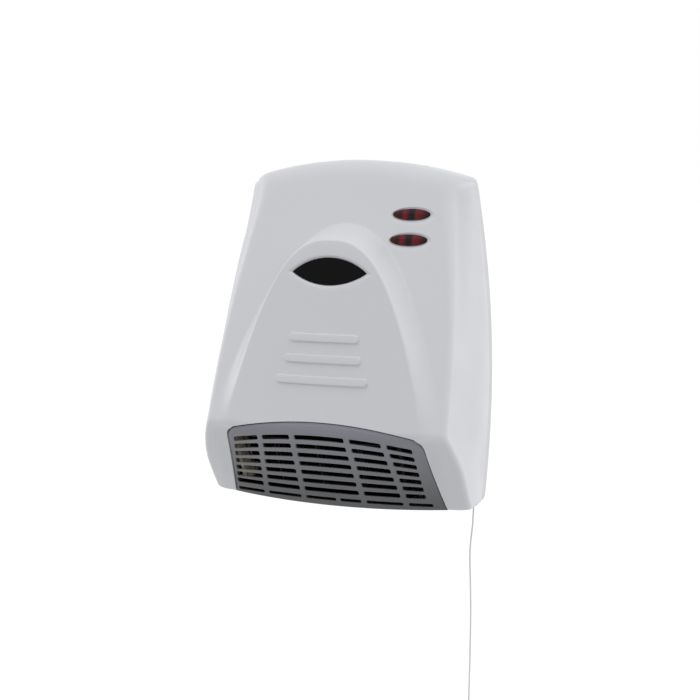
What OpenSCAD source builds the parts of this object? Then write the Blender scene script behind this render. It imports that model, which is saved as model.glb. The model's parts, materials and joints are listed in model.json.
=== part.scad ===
// Bathroom wall fan heater, as seen on the wall: X is across, -Y is towards the room, Z is up.
// The origin is on the wall, at the middle of the four fixing screws.
// "depth" below means the distance from the wall, so a point lies at y = -depth.

/* [Body] */
// Width across the back at its widest
body_w = 236; // [215:1:284]
// Height from the foot to the top of the arch
body_h = 300; // [280:1:360]
// Depth from the wall to the fullest point of the hood
body_d = 124.5; // [114:0.5:150]
// Thickness of the moulded walls
wall = 2.4; // [2:0.1:3]
// Depth at which the front cover meets the rear housing
seam_d = 12; // [10:0.5:15]
// Fall of the top edge from its middle to the full width
top_arch = 22.3; // [14:0.1:27]
// Rise of the lower edge from its middle to the full width
foot_bow = 6.5; // [3:0.1:9]
// Height of the widest place above the foot
widest_h = 110; // [90:1:130]
// How far each side draws in from the widest place to the top
top_narrowing = 18.8; // [12:0.1:24]
// How far each side draws in from the widest place to the foot
foot_narrowing = 4.2; // [1:0.1:7]
// Corner rounding of the back outline
corner_r = 9; // [6:0.5:12]

/* [Front face] */
// Depth of the front face at the height of the arch's top
face_top_d = 36; // [30:1:42]
// How far the front face lies behind the hood at the knee
face_set_back = 3.5; // [2:0.5:6]
// Radius of the front face's curve across its width
face_r = 900; // [600:50:1400]
// Height of the flat rim along the top edge, measured in depth
top_rim_d = 24; // [20:1:28]
// Drop of the rounded brow behind the top edge
brow_drop = 18; // [12:1:24]
// How far the sides lean in at the top
lean_top = 19.8; // [14:0.1:24]
// How far the sides lean in at the knee
lean_knee = 12.4; // [9:0.1:16]
// Depth over which a side curves in towards the face
lean_run = 55; // [40:1:70]
// Rounding of the edge between face and side
edge_r = 9; // [5:0.5:12]

/* [Hood] */
// Radius of the hood's curve across its width
hood_r = 450; // [350:10:600]
// Height of the knee above the foot
knee_h = 72.4; // [66:0.1:80]
// Angle of the chin below the knee, from the vertical
chin_angle = 30.4; // [24:0.1:36]
// Height of the hood's crest above the foot
crest_h = 233.4; // [220:0.1:240]
// Depth of the hood at its crest
crest_d = 96; // [88:1:104]
// Height of the ramp's foot above the crest
ramp_h = 13.2; // [10:0.1:18]
// Width in which the crest line falls by one millimetre
crest_spread = 12.3; // [11:0.1:14]
// Width in which the ramp's foot line falls by one millimetre
ramp_spread = 9.6; // [9:0.1:11]
// Height of each raised rib
rib_h = 7; // [5:0.5:8]
// How far a rib stands proud
rib_rise = 2; // [1:0.1:2.5]
// Spacing of the ribs
rib_pitch = 17.6; // [14:0.1:20]
// Height of the middle rib above the foot
rib_mid_h = 135.3; // [130:0.1:140]

/* [Window] */
// Half width of the almond window
window_half = 32.8; // [26:0.1:38]
// Rise of the window above its tips
window_rise = 14; // [10:0.5:17]
// Fall of the window below its tips
window_fall = 11; // [8:0.5:14]
// Height of the window's tips above the foot
window_h = 207.3; // [202:0.1:212]

/* [Lamps] */
// Length of each lamp lens
lens_l = 33; // [26:0.5:38]
// Height of each lamp lens
lens_h = 12; // [9:0.5:15]
// Distance of the lenses from the middle
lens_x = 58.5; // [52:0.5:62]
// Distance of the upper lens below the top of the arch
upper_lens_drop = 44.7; // [42:0.1:48]
// Spacing of the two lenses
lens_pitch = 21.8; // [19:0.1:26]
// Diameter of the neon lamps
neon_d = 6; // [4:0.5:7]

/* [Grille] */
// Rows of air slots
slot_rows = 8; // [6:1:8]
// Spacing of the rows
slot_pitch = 8.6; // [8:0.1:9]
// Height of a slot
slot_h = 4.2; // [3:0.1:5]
// Width of the bars between slots
bar_w = 4.5; // [3.5:0.1:6]
// Thickness of the grille's face
grille_t = 2.4; // [1.8:0.1:3]
// Gap all round between grille and cover
grille_gap = 0.4; // [0.2:0.05:0.6]
// Half width of the grille at its upper corners
grille_top_half = 86.2; // [80:0.1:92]
// Half width of the grille at its foot
grille_foot_half = 98.4; // [92:0.1:102]
// Height of the grille's middle above the foot
grille_h = 82; // [78:0.5:86]

/* [Blower] */
// Diameter of the blower wheel
fan_d = 52; // [46:1:54]
// Number of blades
blades = 24; // [16:1:30]
// Depth of the blower shaft
fan_depth = 52; // [50:0.5:56]
// Height of the blower shaft above the foot
fan_h = 158; // [152:1:164]
// Left end of the blower wheel
fan_left = -84; // [-86:1:-70]
// Right end of the blower wheel
fan_right = 60; // [50:1:62]
// Diameter of the shaft
shaft_d = 4; // [3:0.5:5]
// Thickness of the sheet metal
sheet = 1.2; // [0.8:0.1:1.5]

/* [Motor] */
// Thickness of the lamination stack
stack_w = 15; // [12:1:18]
// Diameter of the rotor
rotor_d = 24; // [20:1:26]
// Gap between rotor and stack
rotor_gap = 0.35; // [0.3:0.05:0.5]

/* [Heating element] */
// Length of the element frame down the slope
element_l = 50; // [44:1:54]
// Thickness of the element frame
element_t = 20; // [16:1:22]
// Pitch of the heating wire's zigzag
wire_pitch = 7; // [6:0.5:10]
// Diameter of the heating wire ribbon
wire_d = 1.1; // [0.8:0.1:1.4]

/* [Wall fixing] */
// Distance of the fixing holes from the widest side
fixing_inset = 18; // [17:0.5:22]
// Distance of the upper fixing holes below the arch, and of the lower ones above the foot
fixing_end = 80; // [74:1:84]
// Diameter of the fixing holes
fixing_d = 5; // [4:0.5:6]
// Diameter of the cable that enters through the back
cable_d = 8; // [6:0.5:9]

/* [Pull switch] */
// Distance of the pull cord from the widest side
cord_inset = 12.4; // [12:0.1:14]
// Depth of the pull cord
cord_depth = 8; // [7.5:0.1:8.5]
// Diameter of the pull cord
cord_d = 1.5; // [1.2:0.1:1.6]
// Travel of the switch slider
pull_travel = 10.8; // [9:0.1:11]
// Radius of the ratchet wheel's pegs from its centre
peg_ring_r = 7.64; // [7:0.01:7.8]
// Diameter of a peg
peg_d = 2.4; // [2:0.1:2.6]

/* [Hidden] */

// Gap between pieces that lie side by side, and between pieces that move past each other
seat_gap = 0.3;
slip = 0.05;

// ---- Outline of the back, in the plane of the seam ----
half_w = body_w / 2;
half_h = body_h / 2;
foot = -half_h;
widest_z = foot + widest_h;
function smin(a, b, k) = min(a, b) - pow(max(k - abs(a - b), 0), 2) / (4 * k);
function mix(a, b, t) = a + (b - a) * t;
function bez(a, b, c, t) = (1 - t) * (1 - t) * a + 2 * t * (1 - t) * b + t * t * c;
function top_z(x) = half_h - top_arch * pow(x / half_w, 2);
function foot_z(x) = foot + foot_bow * pow(x / half_w, 2);
function rear_half(z) = half_w - (z > widest_z
    ? top_narrowing * pow((z - widest_z) / (half_h - widest_z), 2)
    : foot_narrowing * pow((widest_z - z) / (widest_z - foot), 2));
// Where the side meets the top edge and the foot, found by going back and forth between them
function meet_top(x, n) = n == 0 ? x : meet_top(rear_half(top_z(x)), n - 1);
function meet_foot(x, n) = n == 0 ? x : meet_foot(rear_half(foot_z(x)), n - 1);
top_corner_x = meet_top(half_w, 8);
foot_corner_x = meet_foot(half_w, 4);
top_corner_z = top_z(top_corner_x);
foot_corner_z = foot_z(foot_corner_x);

// ---- Front face, hood and chin as depths over the wall ----
knee_z = foot + knee_h;
crest_z0 = foot + crest_h;
knee_ease = 5;
knee_d = body_d + 0.18 * knee_ease;
face_knee_d = body_d - face_set_back;
face_slope = (face_knee_d - face_top_d) / (half_h - knee_z);
hood_slope = (knee_d - crest_d) / (crest_z0 - knee_z);
chin_slope = tan(chin_angle);
hood_axis = hood_r - body_d;
crest_power = 2.584;
ramp_power = 2.128;
function face_d(x, z) = face_knee_d - face_slope * (z - knee_z) - x * x / (2 * face_r);
function hood_mid(z) = knee_d - hood_slope * (z - knee_z);
function chin_mid(z) = knee_d + chin_slope * (z - knee_z);
function nose_mid(z) = smin(hood_mid(z), chin_mid(z), knee_ease);
function around(d, x) = sqrt(pow(d + hood_axis, 2) - x * x) - hood_axis;
function ramp_z(x) = crest_z0 + ramp_h - pow(abs(x) / ramp_spread, ramp_power);
function crest_z(x) = crest_z0 - pow(abs(x) / crest_spread, crest_power);
function step(t) = t <= 0 ? 0 : t >= 1 ? 1 : t * t * (3 - 2 * t);
function ramp_share(x, z) = step((ramp_z(x) - z) / (ramp_z(x) - crest_z(x)));
function front_d(x, z) = smin(
    face_d(x, z) + max(around(nose_mid(z), x) - face_d(x, z), 0) * ramp_share(x, z),
    around(chin_mid(z), x), knee_ease);

// ---- Sides: they curve in from the seam towards the face ----
function lean(z) = mix(lean_knee, lean_top, (z - knee_z) / (half_h - knee_z));
function face_half(z) = rear_half(z) - lean(z);
function side_half(z, d) = let (edge = face_d(face_half(z), z), run = min(lean_run, edge - seam_d))
    rear_half(z) - lean(z) * pow(max(0, 1 - max(edge - d, 0) / run), 2);

// ---- Rows of the cover's grid, from the seam over the top and down to the seam again ----
face_cols = 28;
side_cols = 5;
rows_face = 6;
rows_ramp = 5;
rows_hood = 8;
rows_knee = 4;
rows_chin = 5;
rows_top = 5;
rows_front = rows_face + rows_ramp + rows_hood + rows_knee + rows_chin;
rows_foot = 5;
last_row = rows_top + rows_front + rows_foot - 1;
last_col = face_cols + 2 * side_cols;
knee_reach = 7;
foot_round = 5;
function brow_z(x) = top_z(x) - brow_drop;
function ramp_row_z(x) = max(min(ramp_z(x), brow_z(x) - 14), knee_z + knee_reach + 10);
function crest_row_z(x) = max(min(crest_z(x), ramp_row_z(x) - 4), knee_z + knee_reach + 5);
function chin_end_z(x) = foot_z(x) + foot_round;
function front_z(i, x) =
    i < rows_face ? mix(brow_z(x), ramp_row_z(x), i / rows_face)
    : i < rows_face + rows_ramp ? mix(ramp_row_z(x), crest_row_z(x), (i - rows_face) / rows_ramp)
    : i < rows_face + rows_ramp + rows_hood
        ? mix(crest_row_z(x), knee_z + knee_reach, (i - rows_face - rows_ramp) / rows_hood)
    : i < rows_front - rows_chin
        ? knee_z + knee_reach - 2 * knee_reach * (i - rows_front + rows_chin + rows_knee) / rows_knee
    : mix(knee_z - knee_reach, chin_end_z(x), (i - rows_front + rows_chin) / (rows_chin - 1));
// A face row as [depth, z] at x; rows before and after the face bend round to the seam
function row_at(j, x) = let (i = j - rows_top)
    i < 0 ? brow_at(j, x) : i < rows_front ? let (z = front_z(i, x)) [front_d(x, z), z]
    : foot_at(i - rows_front, x);
function brow_at(j, x) = let (zb = brow_z(x), zt = top_z(x), db = front_d(x, zb), t = (j - 1) / 4)
    j == 0 ? [seam_d, zt]
    : [bez(top_rim_d, db - face_slope * brow_drop, db, t), bez(zt, zt, zb, t)];
function foot_at(k, x) = let (zc = chin_end_z(x), zf = foot_z(x), dc = front_d(x, zc),
        df = dc - chin_slope * foot_round, t = (k + 1) / 3)
    k < 3 ? [bez(dc, df, df - foot_round, t), bez(zc, zf, zf, t)]
    : k == 3 ? [mix(df - foot_round, seam_d, 0.5), zf] : [seam_d, zf];
// Half width of a row where the face meets the side
function settle(j, x, n) = n == 0 ? x
    : let (p = row_at(j, x)) settle(j, side_half(p[1], p[0]), n - 1);
brow_row_share = [0, 0.3, 0.55, 0.75, 0.9];
foot_row_share = [0.08, 0.2, 0.35, 0.65, 1];
function row_half(j) = j < rows_top
    ? mix(top_corner_x - corner_r - 3, settle(rows_top, face_half(half_h - brow_drop), 6), brow_row_share[j])
    : j < rows_top + rows_front ? settle(j, half_w - lean_knee, 6)
    : mix(settle(rows_top + rows_front - 1, half_w - lean_knee, 6), foot_corner_x - corner_r - 3,
        foot_row_share[j - rows_top - rows_front]);
// End of a row on the seam: round the top corner, down the side, round the foot corner
function corner(a, c, b, t) = [bez(a[0], c[0], b[0], t), bez(a[1], c[1], b[1], t)];
function row_end(j) = let (zt = top_corner_z - corner_r, zf = foot_corner_z + corner_r,
        i = j - rows_top - rows_front + 1)
    j <= rows_top ? corner([top_corner_x - corner_r, top_z(top_corner_x - corner_r)],
        [top_corner_x, top_corner_z], [rear_half(zt), zt], j / rows_top)
    : i >= 0 ? corner([rear_half(zf), zf], [foot_corner_x, foot_corner_z],
        [foot_corner_x - corner_r, foot_z(foot_corner_x - corner_r)], i / rows_foot)
    : let (z = min(zt - 3 * (j - rows_top), max(zf + 3 * (-i), row_at(j, row_half(j))[1])))
        [rear_half(z), z];
// The right half of a row beyond the face: a rounded edge, then the side, then the seam
function side_points(j) = let (xs = row_half(j), s = row_at(j, xs), e = row_end(j),
        edge = [xs, -s[0], s[1]], end = [e[0], -seam_d, e[1]], len = norm(end - edge),
        r = min(edge_r, 0.4 * len), start = face_point(j, xs - r), to = edge + (end - edge) * r / len,
        bow = side_bow(j, s[0], len))
    [for (t = [1 / 3, 2 / 3, 1]) bez(start, edge, to, t),
     mix(to, end, 0.5) + [bow, 0, 0], end];
// How far the middle of a side stands out from a straight line between edge and seam
function side_bow(j, d, len) = j < rows_top || j >= rows_top + rows_front ? 0
    : min(lean_knee, max(0, side_half_excess(row_at(j, row_half(j))[1], d)));
function side_half_excess(z, d) = let (m = (d + seam_d) / 2)
    side_half(z, m) - (side_half(z, d) + side_half(z, seam_d)) / 2;
function face_point(j, x) = let (p = row_at(j, x)) [x, -p[0], p[1]];
function flip(p) = [-p[0], p[1], p[2]];
function row_points(j) = let (side = side_points(j), xf = row_half(j)
        - min(edge_r, 0.4 * norm([row_end(j)[0] - row_half(j), seam_d - row_at(j, row_half(j))[0],
            row_end(j)[1] - row_at(j, row_half(j))[1]])))
    concat([for (i = [side_cols - 1:-1:0]) flip(side[i])],
        [for (i = [0:face_cols]) face_point(j, xf * (2 * i / face_cols - 1))],
        side);
outer = [for (j = [0:last_row]) row_points(j)];

// ---- The seam runs round the grid's edge; the same ring draws the rear housing ----
ring_n = 2 * last_col + 2 * last_row;
function ring_cell(i) = let (n = last_col, m = last_row, k = (i + ring_n) % ring_n)
    k <= n ? [0, k] : k <= n + m ? [k - n, n]
    : k <= 2 * n + m ? [m, 2 * n + m - k] : [2 * n + 2 * m - k, 0];
function ring_index(j, k) = j == 0 ? k : k == last_col ? last_col + j
    : j == last_row ? 2 * last_col + last_row - k : 2 * last_col + 2 * last_row - j;
ring = [for (i = [0:ring_n - 1]) let (c = ring_cell(i), p = outer[c[0]][c[1]]) [p[0], p[2]]];
function ring_out(i) = let (t = ring[(i + 1) % ring_n] - ring[(i + ring_n - 1) % ring_n])
    [-t[1], t[0]] / norm(t);
function inset(t) = [for (i = [0:ring_n - 1]) ring[i] - t * ring_out(i)];
seam_inside = inset(wall);

// ---- Inner skin of the cover, one wall inside the outer one ----
function grid_out(j, k) = let (a = outer[j][k + 1] - outer[j][k - 1],
        b = outer[j + 1][k] - outer[j - 1][k], n = cross(b, a)) n / norm(n);
function is_edge(j, k) = j == 0 || k == 0 || j == last_row || k == last_col;
function inner_point(j, k) = is_edge(j, k)
    ? let (p = seam_inside[ring_index(j, k)]) [p[0], -seam_d, p[1]]
    : outer[j][k] - wall * grid_out(j, k);
shell_points = concat([for (row = outer) each row],
    [for (j = [0:last_row]) for (k = [0:last_col]) inner_point(j, k)]);
per_row = last_col + 1;
skin_n = per_row * (last_row + 1);
function cell(j, k) = j * per_row + k;
function quad(a, b, c, d, turn) = turn ? [[a, b, c], [a, c, d]] : [[a, b, d], [b, c, d]];
shell_faces = concat(
    [for (j = [0:last_row - 1]) for (k = [0:last_col - 1])
        each quad(cell(j, k), cell(j, k + 1), cell(j + 1, k + 1), cell(j + 1, k), k < last_col / 2)],
    [for (j = [0:last_row - 1]) for (k = [0:last_col - 1])
        each quad(skin_n + cell(j + 1, k), skin_n + cell(j + 1, k + 1), skin_n + cell(j, k + 1),
            skin_n + cell(j, k), k >= last_col / 2)],
    [for (i = [0:ring_n - 1]) let (p = ring_cell(i), q = ring_cell(i + 1),
            a = cell(p[0], p[1]), b = cell(q[0], q[1])) each quad(a, skin_n + a, skin_n + b, b, true)]);

// ---- Helpers: the children of across() are drawn as (depth, z), of through() as (x, z) ----
module across(x0, x1) {
    translate([x0, 0, 0]) rotate([90, 0, 90]) linear_extrude(x1 - x0) mirror([1, 0]) children();
}
module through(d0, d1) {
    translate([0, -d0, 0]) rotate([90, 0, 0]) linear_extrude(d1 - d0) children();
}
module at(x, d, z) { translate([x, -d, z]) children(); }
module rod_x(x0, x1, d, z, r) { at(x0, d, z) rotate([0, 90, 0]) cylinder(h = x1 - x0, r = r, $fn = 48); }
module rod_y(d0, d1, x, z, r) { at(x, d0, z) rotate([90, 0, 0]) cylinder(h = d1 - d0, r = r, $fn = 48); }
module rod_z(z0, z1, x, d, r) { at(x, d, z0) cylinder(h = z1 - z0, r = r, $fn = 48); }
module block(x0, x1, d0, d1, z0, z1) { translate([x0, -d1, z0]) cube([x1 - x0, d1 - d0, z1 - z0]); }
module tube_x(x0, x1, d, z, r, bore) {
    difference() { rod_x(x0, x1, d, z, r); rod_x(x0 - 1, x1 + 1, d, z, bore); }
}
// On the face at (x, z): local Z points out of the face, local Y up along it
face_tilt = atan(face_slope);
module on_face(x, z) {
    at(x, face_d(x, z), z) rotate([90 - face_tilt, 0, 0]) rotate([0, atan(x / face_r), 0]) children();
}
function ellipse(a, b, n) = [for (i = [0:n - 1]) [a * cos(360 * i / n), b * sin(360 * i / n)]];

// ---- Rear housing ----
lip_t = 1.5;
lip_h = 3;
lip_in = wall + 1.3;
fixing_x = half_w - fixing_inset;
fixing_z = half_h - fixing_end;
grommet_x = -50;
grommet_z = half_h - 62;
grommet_r = cable_d / 2 + 2;
cord_x = half_w - cord_inset;
bush_r = 2.6;
floor_t = 2.5;
cover_screw_x = 58;
cover_screw_d = 24;
screw_r = 1.7;

module rear_housing() {
    color([0.93, 0.93, 0.92]) difference() {
        union() {
            through(0, floor_t) polygon(ring);
            through(0, seam_d) difference() { polygon(ring); polygon(seam_inside); }
            through(0, seam_d + lip_h) difference() {
                polygon(inset(lip_in));
                polygon(inset(lip_in + lip_t));
            }
            through(0, floor_t + 1) difference() {
                polygon(inset(wall / 2));
                polygon(inset(lip_in + lip_t / 2));
            }
            for (x = [-fixing_x, fixing_x], z = [-fixing_z, fixing_z])
                rod_y(0, floor_t + 3.5, x, z, fixing_d / 2 + 3);
            for (x = [-cover_screw_x, cover_screw_x]) cover_post(x);
            for (p = plate_feet) rod_y(0, foot_d, p[0], p[1], 4);
            rod_y(0, floor_t + 1.5, grommet_x, grommet_z, grommet_r + 3);
            for (x = [term_x - 11, term_x + 11]) rod_y(0, term_d - seat_gap, x, term_z, 3);
            for (x = [case_x0 + 4, case_x1 - 4]) block(x - 2, x + 2, 0, case_d0 - seat_gap, case_z0 + 2, case_z1 - 2);
        }
        for (x = [-fixing_x, fixing_x], z = [-fixing_z, fixing_z])
            rod_y(-1, floor_t + 9, x, z, fixing_d / 2);
        rod_y(-1, floor_t + 9, grommet_x, grommet_z, grommet_r);
        for (x = [-cover_screw_x, cover_screw_x])
            rod_z(foot - 5, foot + 16, x, cover_screw_d, screw_r - 0.3);
        for (p = plate_feet) rod_y(1.2, foot_d + 1, p[0], p[1], screw_r - 0.25);
        rod_z(foot - 5, foot + 16, cord_x, cord_depth, bush_r + slip);
    }
}
// A post that takes a cover screw from below; it stands on the floor of the housing
module cover_post(x) {
    block(x - 4.5, x + 4.5, floor_t - 1, cover_screw_d + 4.5, foot_z(x) + wall + 1, foot_z(x) + wall + 11);
}

// ---- Front cover ----
module front_cover() {
    color([0.95, 0.95, 0.96]) difference() {
        union() {
            polyhedron(points = shell_points, faces = shell_faces, convexity = 8);
            for (i = [-1:1]) rib(foot + rib_mid_h - i * rib_pitch + (i == -1 ? -0.2 : 0), rib_half(i));
        }
        grille_notch();
        window_cut();
        for (z = lens_zs) lens_cut(lens_x, z);
        intake_cuts();
        for (x = [-cover_screw_x, cover_screw_x]) cover_screw_cut(x);
    }
}
function rib_half(i) = i < 0 ? 31.2 : i == 0 ? 34.3 : 41;
rib_steps = 4;
module rib(z, half) {
    for (i = [0:rib_steps - 1]) hull() for (k = [i, i + 1]) rib_bead(half * (2 * k / rib_steps - 1), z);
}
module rib_bead(x, z) {
    at(x, front_d(x, z) - 0.8, z) rotate([90, 0, 0])
        cylinder(h = rib_rise + 0.8, r1 = rib_h / 2, r2 = rib_h / 2 - 1.6, $fn = 12);
}
// Everything in front of the blower's chamber inside the grille's outline, out through the foot
module grille_notch() {
    intersection() {
        nose_band(-15, sill_d + 1);
        through(notch_d, body_d + 20) polygon(grille_outline(grille_gap, -6));
    }
}
module window_cut() {
    through(crest_d - 30, body_d + 5) almond(0.25);
    bevel = 1.6;
    hull() for (s = [0, 1]) through(window_face_d + 3 * s - 2.2, window_face_d + 3 * s - 2.1)
        almond(s * bevel * 1.6 - 0.3);
}
module lens_cut(x, z) {
    on_face(x, z) {
        translate([0, 0, -8]) linear_extrude(14) polygon(ellipse(lens_l / 2 + 0.2, lens_h / 2 + 0.2, 32));
        hull() {
            translate([0, 0, -1.6]) linear_extrude(0.1) polygon(ellipse(lens_l / 2 + 0.2, lens_h / 2 + 0.2, 32));
            translate([0, -0.4, 0.8]) linear_extrude(0.1) polygon(ellipse(lens_l / 2 + 3.2, lens_h / 2 + 3, 32));
        }
    }
}
intake_slots = 11;
intake_pitch = 12;
intake_w = 4.5;
intake_d0 = seam_d + lip_h + 2;
module intake_cuts() {
    for (i = [0:intake_slots - 1]) let (x = intake_pitch * (i - (intake_slots - 1) / 2))
        translate([x - intake_w / 2, -face_top_d + 3, top_z(x) - 12])
            cube([intake_w, face_top_d - 3 - intake_d0, 30]);
}
module cover_screw_cut(x) {
    rod_z(foot - 5, foot + 8, x, cover_screw_d, screw_r + 0.2);
}

// ---- Outlet grille ----
notch_d = 40;
// Outline points on one side: up the flank, round the upper corner, then along the arch
grille_top_z = foot + grille_h;
grille_corner_z = foot + 68;
grille_arch = (grille_top_z - grille_corner_z - 1.4) / pow(grille_top_half, 2);
grille_corner_r = 7;
function grille_flank_x(z) = let (t = (grille_corner_z - z) / (grille_corner_z - foot))
    mix(grille_top_half, grille_foot_half, t) - 3.2 * t * (1 - t);
function grille_side(g) = let (zc = grille_corner_z - grille_corner_r,
        xa = grille_top_half - grille_corner_r * 1.2, za = grille_top_z - grille_arch * xa * xa)
    concat([for (t = [0:0.25:1]) let (z = mix(foot + 6, zc, t)) [grille_flank_x(z) + g, z]],
        [for (t = [0.2:0.2:1]) corner([grille_flank_x(zc) + g, zc], [grille_top_half + g, grille_corner_z + 1.4 + g],
            [xa, za + g], t)],
        [for (t = [0.15:0.17:0.84]) let (x = mix(xa, 0, t)) [x, grille_top_z - grille_arch * x * x + g]]);
// The whole outline, g wider all round, closed along the foot and shifted from it by drop
function grille_outline(g, drop) = let (side = grille_side(g), n = len(side),
        half = grille_flank_x(foot + 2) + g)
    concat(side, [[0, grille_top_z + g]], [for (i = [n - 1:-1:0]) [-side[i][0], side[i][1]]],
        [for (i = [-4:4]) let (x = half * i / 4) [x, foot_z(x) + drop]]);
// A band of the nose, from t0 to t1 behind its surface, as a revolved profile
nose_turn = 30;
nose_zs = [foot - 8, foot + 5, foot + 20, foot + 45, knee_z - 9, knee_z - 6, knee_z - 3, knee_z, knee_z + 3,
    knee_z + 6, knee_z + 9, knee_z + 30];
module nose_band(t0, t1) {
    translate([0, hood_axis, 0]) rotate([0, 0, -90 - nose_turn / 2]) rotate_extrude(angle = nose_turn, $fn = 180)
        polygon(concat([for (z = nose_zs) [hood_axis + nose_mid(z) - t0 * nose_skew(z), z]],
            [for (i = [len(nose_zs) - 1:-1:0]) let (z = nose_zs[i])
                [hood_axis + nose_mid(z) - t1 * nose_skew(z), z]]));
}
// Behind a sloping stretch the same thickness takes more depth
function nose_skew(z) = z < knee_z ? 1 / cos(chin_angle) : 1 + (1 / cos(chin_angle) - 1) * step((knee_z + 6 - z) / 6);
module outlet_grille() {
    color([0.5, 0.5, 0.51]) difference() {
        union() {
            intersection() {
                nose_band(0, grille_t);
                through(notch_d, body_d + 5) polygon(grille_outline(0, sill_lift));
            }
            grille_rim(0, grille_t - 0.6);
            grille_rim(flange_w, wall + seat_gap);
            grille_sill();
        }
        for (r = [0:slot_rows - 1], c = [-2:2]) slot(r, c);
    }
}
// The rim stands back from the face's edge and spreads behind the cover as a flange
flange_w = 3;
flange_t = 1.6;
flange_in = 2.5;
flange_foot = 16;
module grille_rim(spread, t0) {
    intersection() {
        nose_band(t0, wall + seat_gap + flange_t);
        through(notch_d, body_d + 5) difference() {
            polygon(grille_outline(spread, sill_lift));
            polygon(grille_outline(-flange_in, -6));
            translate([-half_w, foot - 10]) square([body_w, flange_foot + 10]);
        }
    }
}
// The grille's lower edge turns back under the outlet
sill_d = 16;
sill_lift = 0.3;
sill_t = 2;
module grille_sill() {
    half = grille_flank_x(foot + 9);
    intersection() {
        nose_band(0.8, sill_d);
        through(notch_d, body_d) polygon(concat(
            [for (i = [-4:4]) let (x = half * i / 4) [x, foot_z(x) + sill_lift]],
            [for (i = [4:-1:-4]) let (x = half * i / 4) [x, foot_z(x) + sill_lift + sill_t]]));
    }
}
// Rows follow the arch at the top and level out towards the foot
slot_top_z = foot + 69;
slot_arch = 0.00128;
row_bend = slot_rows - 2;
function row_slot_z(r, x) = slot_top_z - slot_pitch * r - slot_arch * max(0, 1 - r / row_bend) * x * x;
function bar_x(r, n) = n == 0 ? 0 : sign(n) * (abs(n) == 1 ? mix(24.5, 27.1, r / row_bend)
    : mix(55.6, 62.9, r / row_bend));
// The outer slots end on one upright line, and only the lowest row runs further out
slot_margin = 5.4;
foot_slot_margin = 11.4;
function slot_end(r) = r == slot_rows - 1 ? grille_foot_half - foot_slot_margin : grille_top_half - slot_margin;
function slot_left(r, c) = c == -2 ? -slot_end(r) : bar_x(r, c - (c > 0 ? 0 : 1)) + bar_w / 2;
function slot_right(r, c) = c == 2 ? slot_end(r) : bar_x(r, c + (c < 0 ? 0 : 1)) - bar_w / 2;
slot_corner = 1.3;
// A narrow bar parts the middle slot of the lowest row
foot_bar_x = 4.5;
foot_bar_w = 3.6;
module slot(r, c) {
    h = (r == slot_rows - 1 ? 0.7 : 1) * slot_h / 2;
    if (r == slot_rows - 1 && c == 0) {
        slot_cut(r, slot_left(r, c), foot_bar_x - foot_bar_w / 2, h);
        slot_cut(r, foot_bar_x + foot_bar_w / 2, slot_right(r, c), h);
    } else slot_cut(r, slot_left(r, c), slot_right(r, c), h);
}
module slot_cut(r, left, right, h) {
    through(notch_d, body_d + 5) polygon(concat(slot_edge(r, left, right, h), slot_edge(r, right, left, -h)));
}
// One long edge of a slot with its corners cut round; h is half the height, signed
function slot_edge(r, x0, x1, h) = let (s = sign(x1 - x0), q = slot_corner, n = r < 4 ? 4 : 2)
    concat([[x0, row_slot_z(r, x0) + sign(h) * (abs(h) - q)],
            [x0 + s * q * 0.3, row_slot_z(r, x0) + sign(h) * (abs(h) - q * 0.3)]],
        [for (i = [0:n]) let (x = mix(x0 + s * q, x1 - s * q, i / n)) [x, row_slot_z(r, x) + h]],
        [[x1 - s * q * 0.3, row_slot_z(r, x1) + sign(h) * (abs(h) - q * 0.3)]]);

// ---- Window insert ----
window_z = foot + window_h;
window_face_d = hood_mid(window_z);
function arc_r(half, rise) = (half * half + rise * rise) / (2 * rise);
module almond(g) {
    up = arc_r(window_half + 2 * g, window_rise + g);
    down = arc_r(window_half + 2 * g, window_fall + g);
    translate([0, window_z]) intersection() {
        translate([0, window_rise + g - up]) circle(up, $fn = 96);
        translate([0, down - window_fall - g]) circle(down, $fn = 96);
    }
}
module hood_band(t0, t1) {
    zs = [window_z - 40, window_z + 40];
    translate([0, hood_axis, 0]) rotate([0, 0, -90 - 8]) rotate_extrude(angle = 16, $fn = 180)
        polygon([for (t = [t0, t1]) for (z = t == t0 ? zs : [zs[1], zs[0]]) [hood_axis + hood_mid(z) - t, z]]);
}
module window_insert() {
    color([0.05, 0.05, 0.05]) union() {
        intersection() { hood_band(1, 3.6); through(60, body_d) almond(0); }
        intersection() {
            hood_band((wall + seat_gap) * 1.02, (wall + seat_gap) * 1.02 + 1.4);
            through(60, body_d) almond(2);
        }
    }
}

// ---- Lamps ----
upper_lens_z = half_h - upper_lens_drop;
lens_zs = [upper_lens_z, upper_lens_z - lens_pitch];
module lens(z) {
    on_face(lens_x, z) {
        for (i = [0:2]) translate([0, 0, -wall - seat_gap]) linear_extrude(wall + 0.1 + 0.4 * i)
            polygon(ellipse(lens_l / 2 - 1.5 * i * i * 0.5, lens_h / 2 - i * i * 0.5, 32));
        translate([0, 0, -wall - seat_gap - 1.2]) linear_extrude(1.2)
            polygon(ellipse(lens_l / 2 + 2, lens_h / 2 + 2, 32));
    }
}
module upper_lens() { color([0.6, 0.05, 0.08]) lens(lens_zs[0]); }
module lower_lens() { color([0.6, 0.05, 0.08]) lens(lens_zs[1]); }
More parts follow.
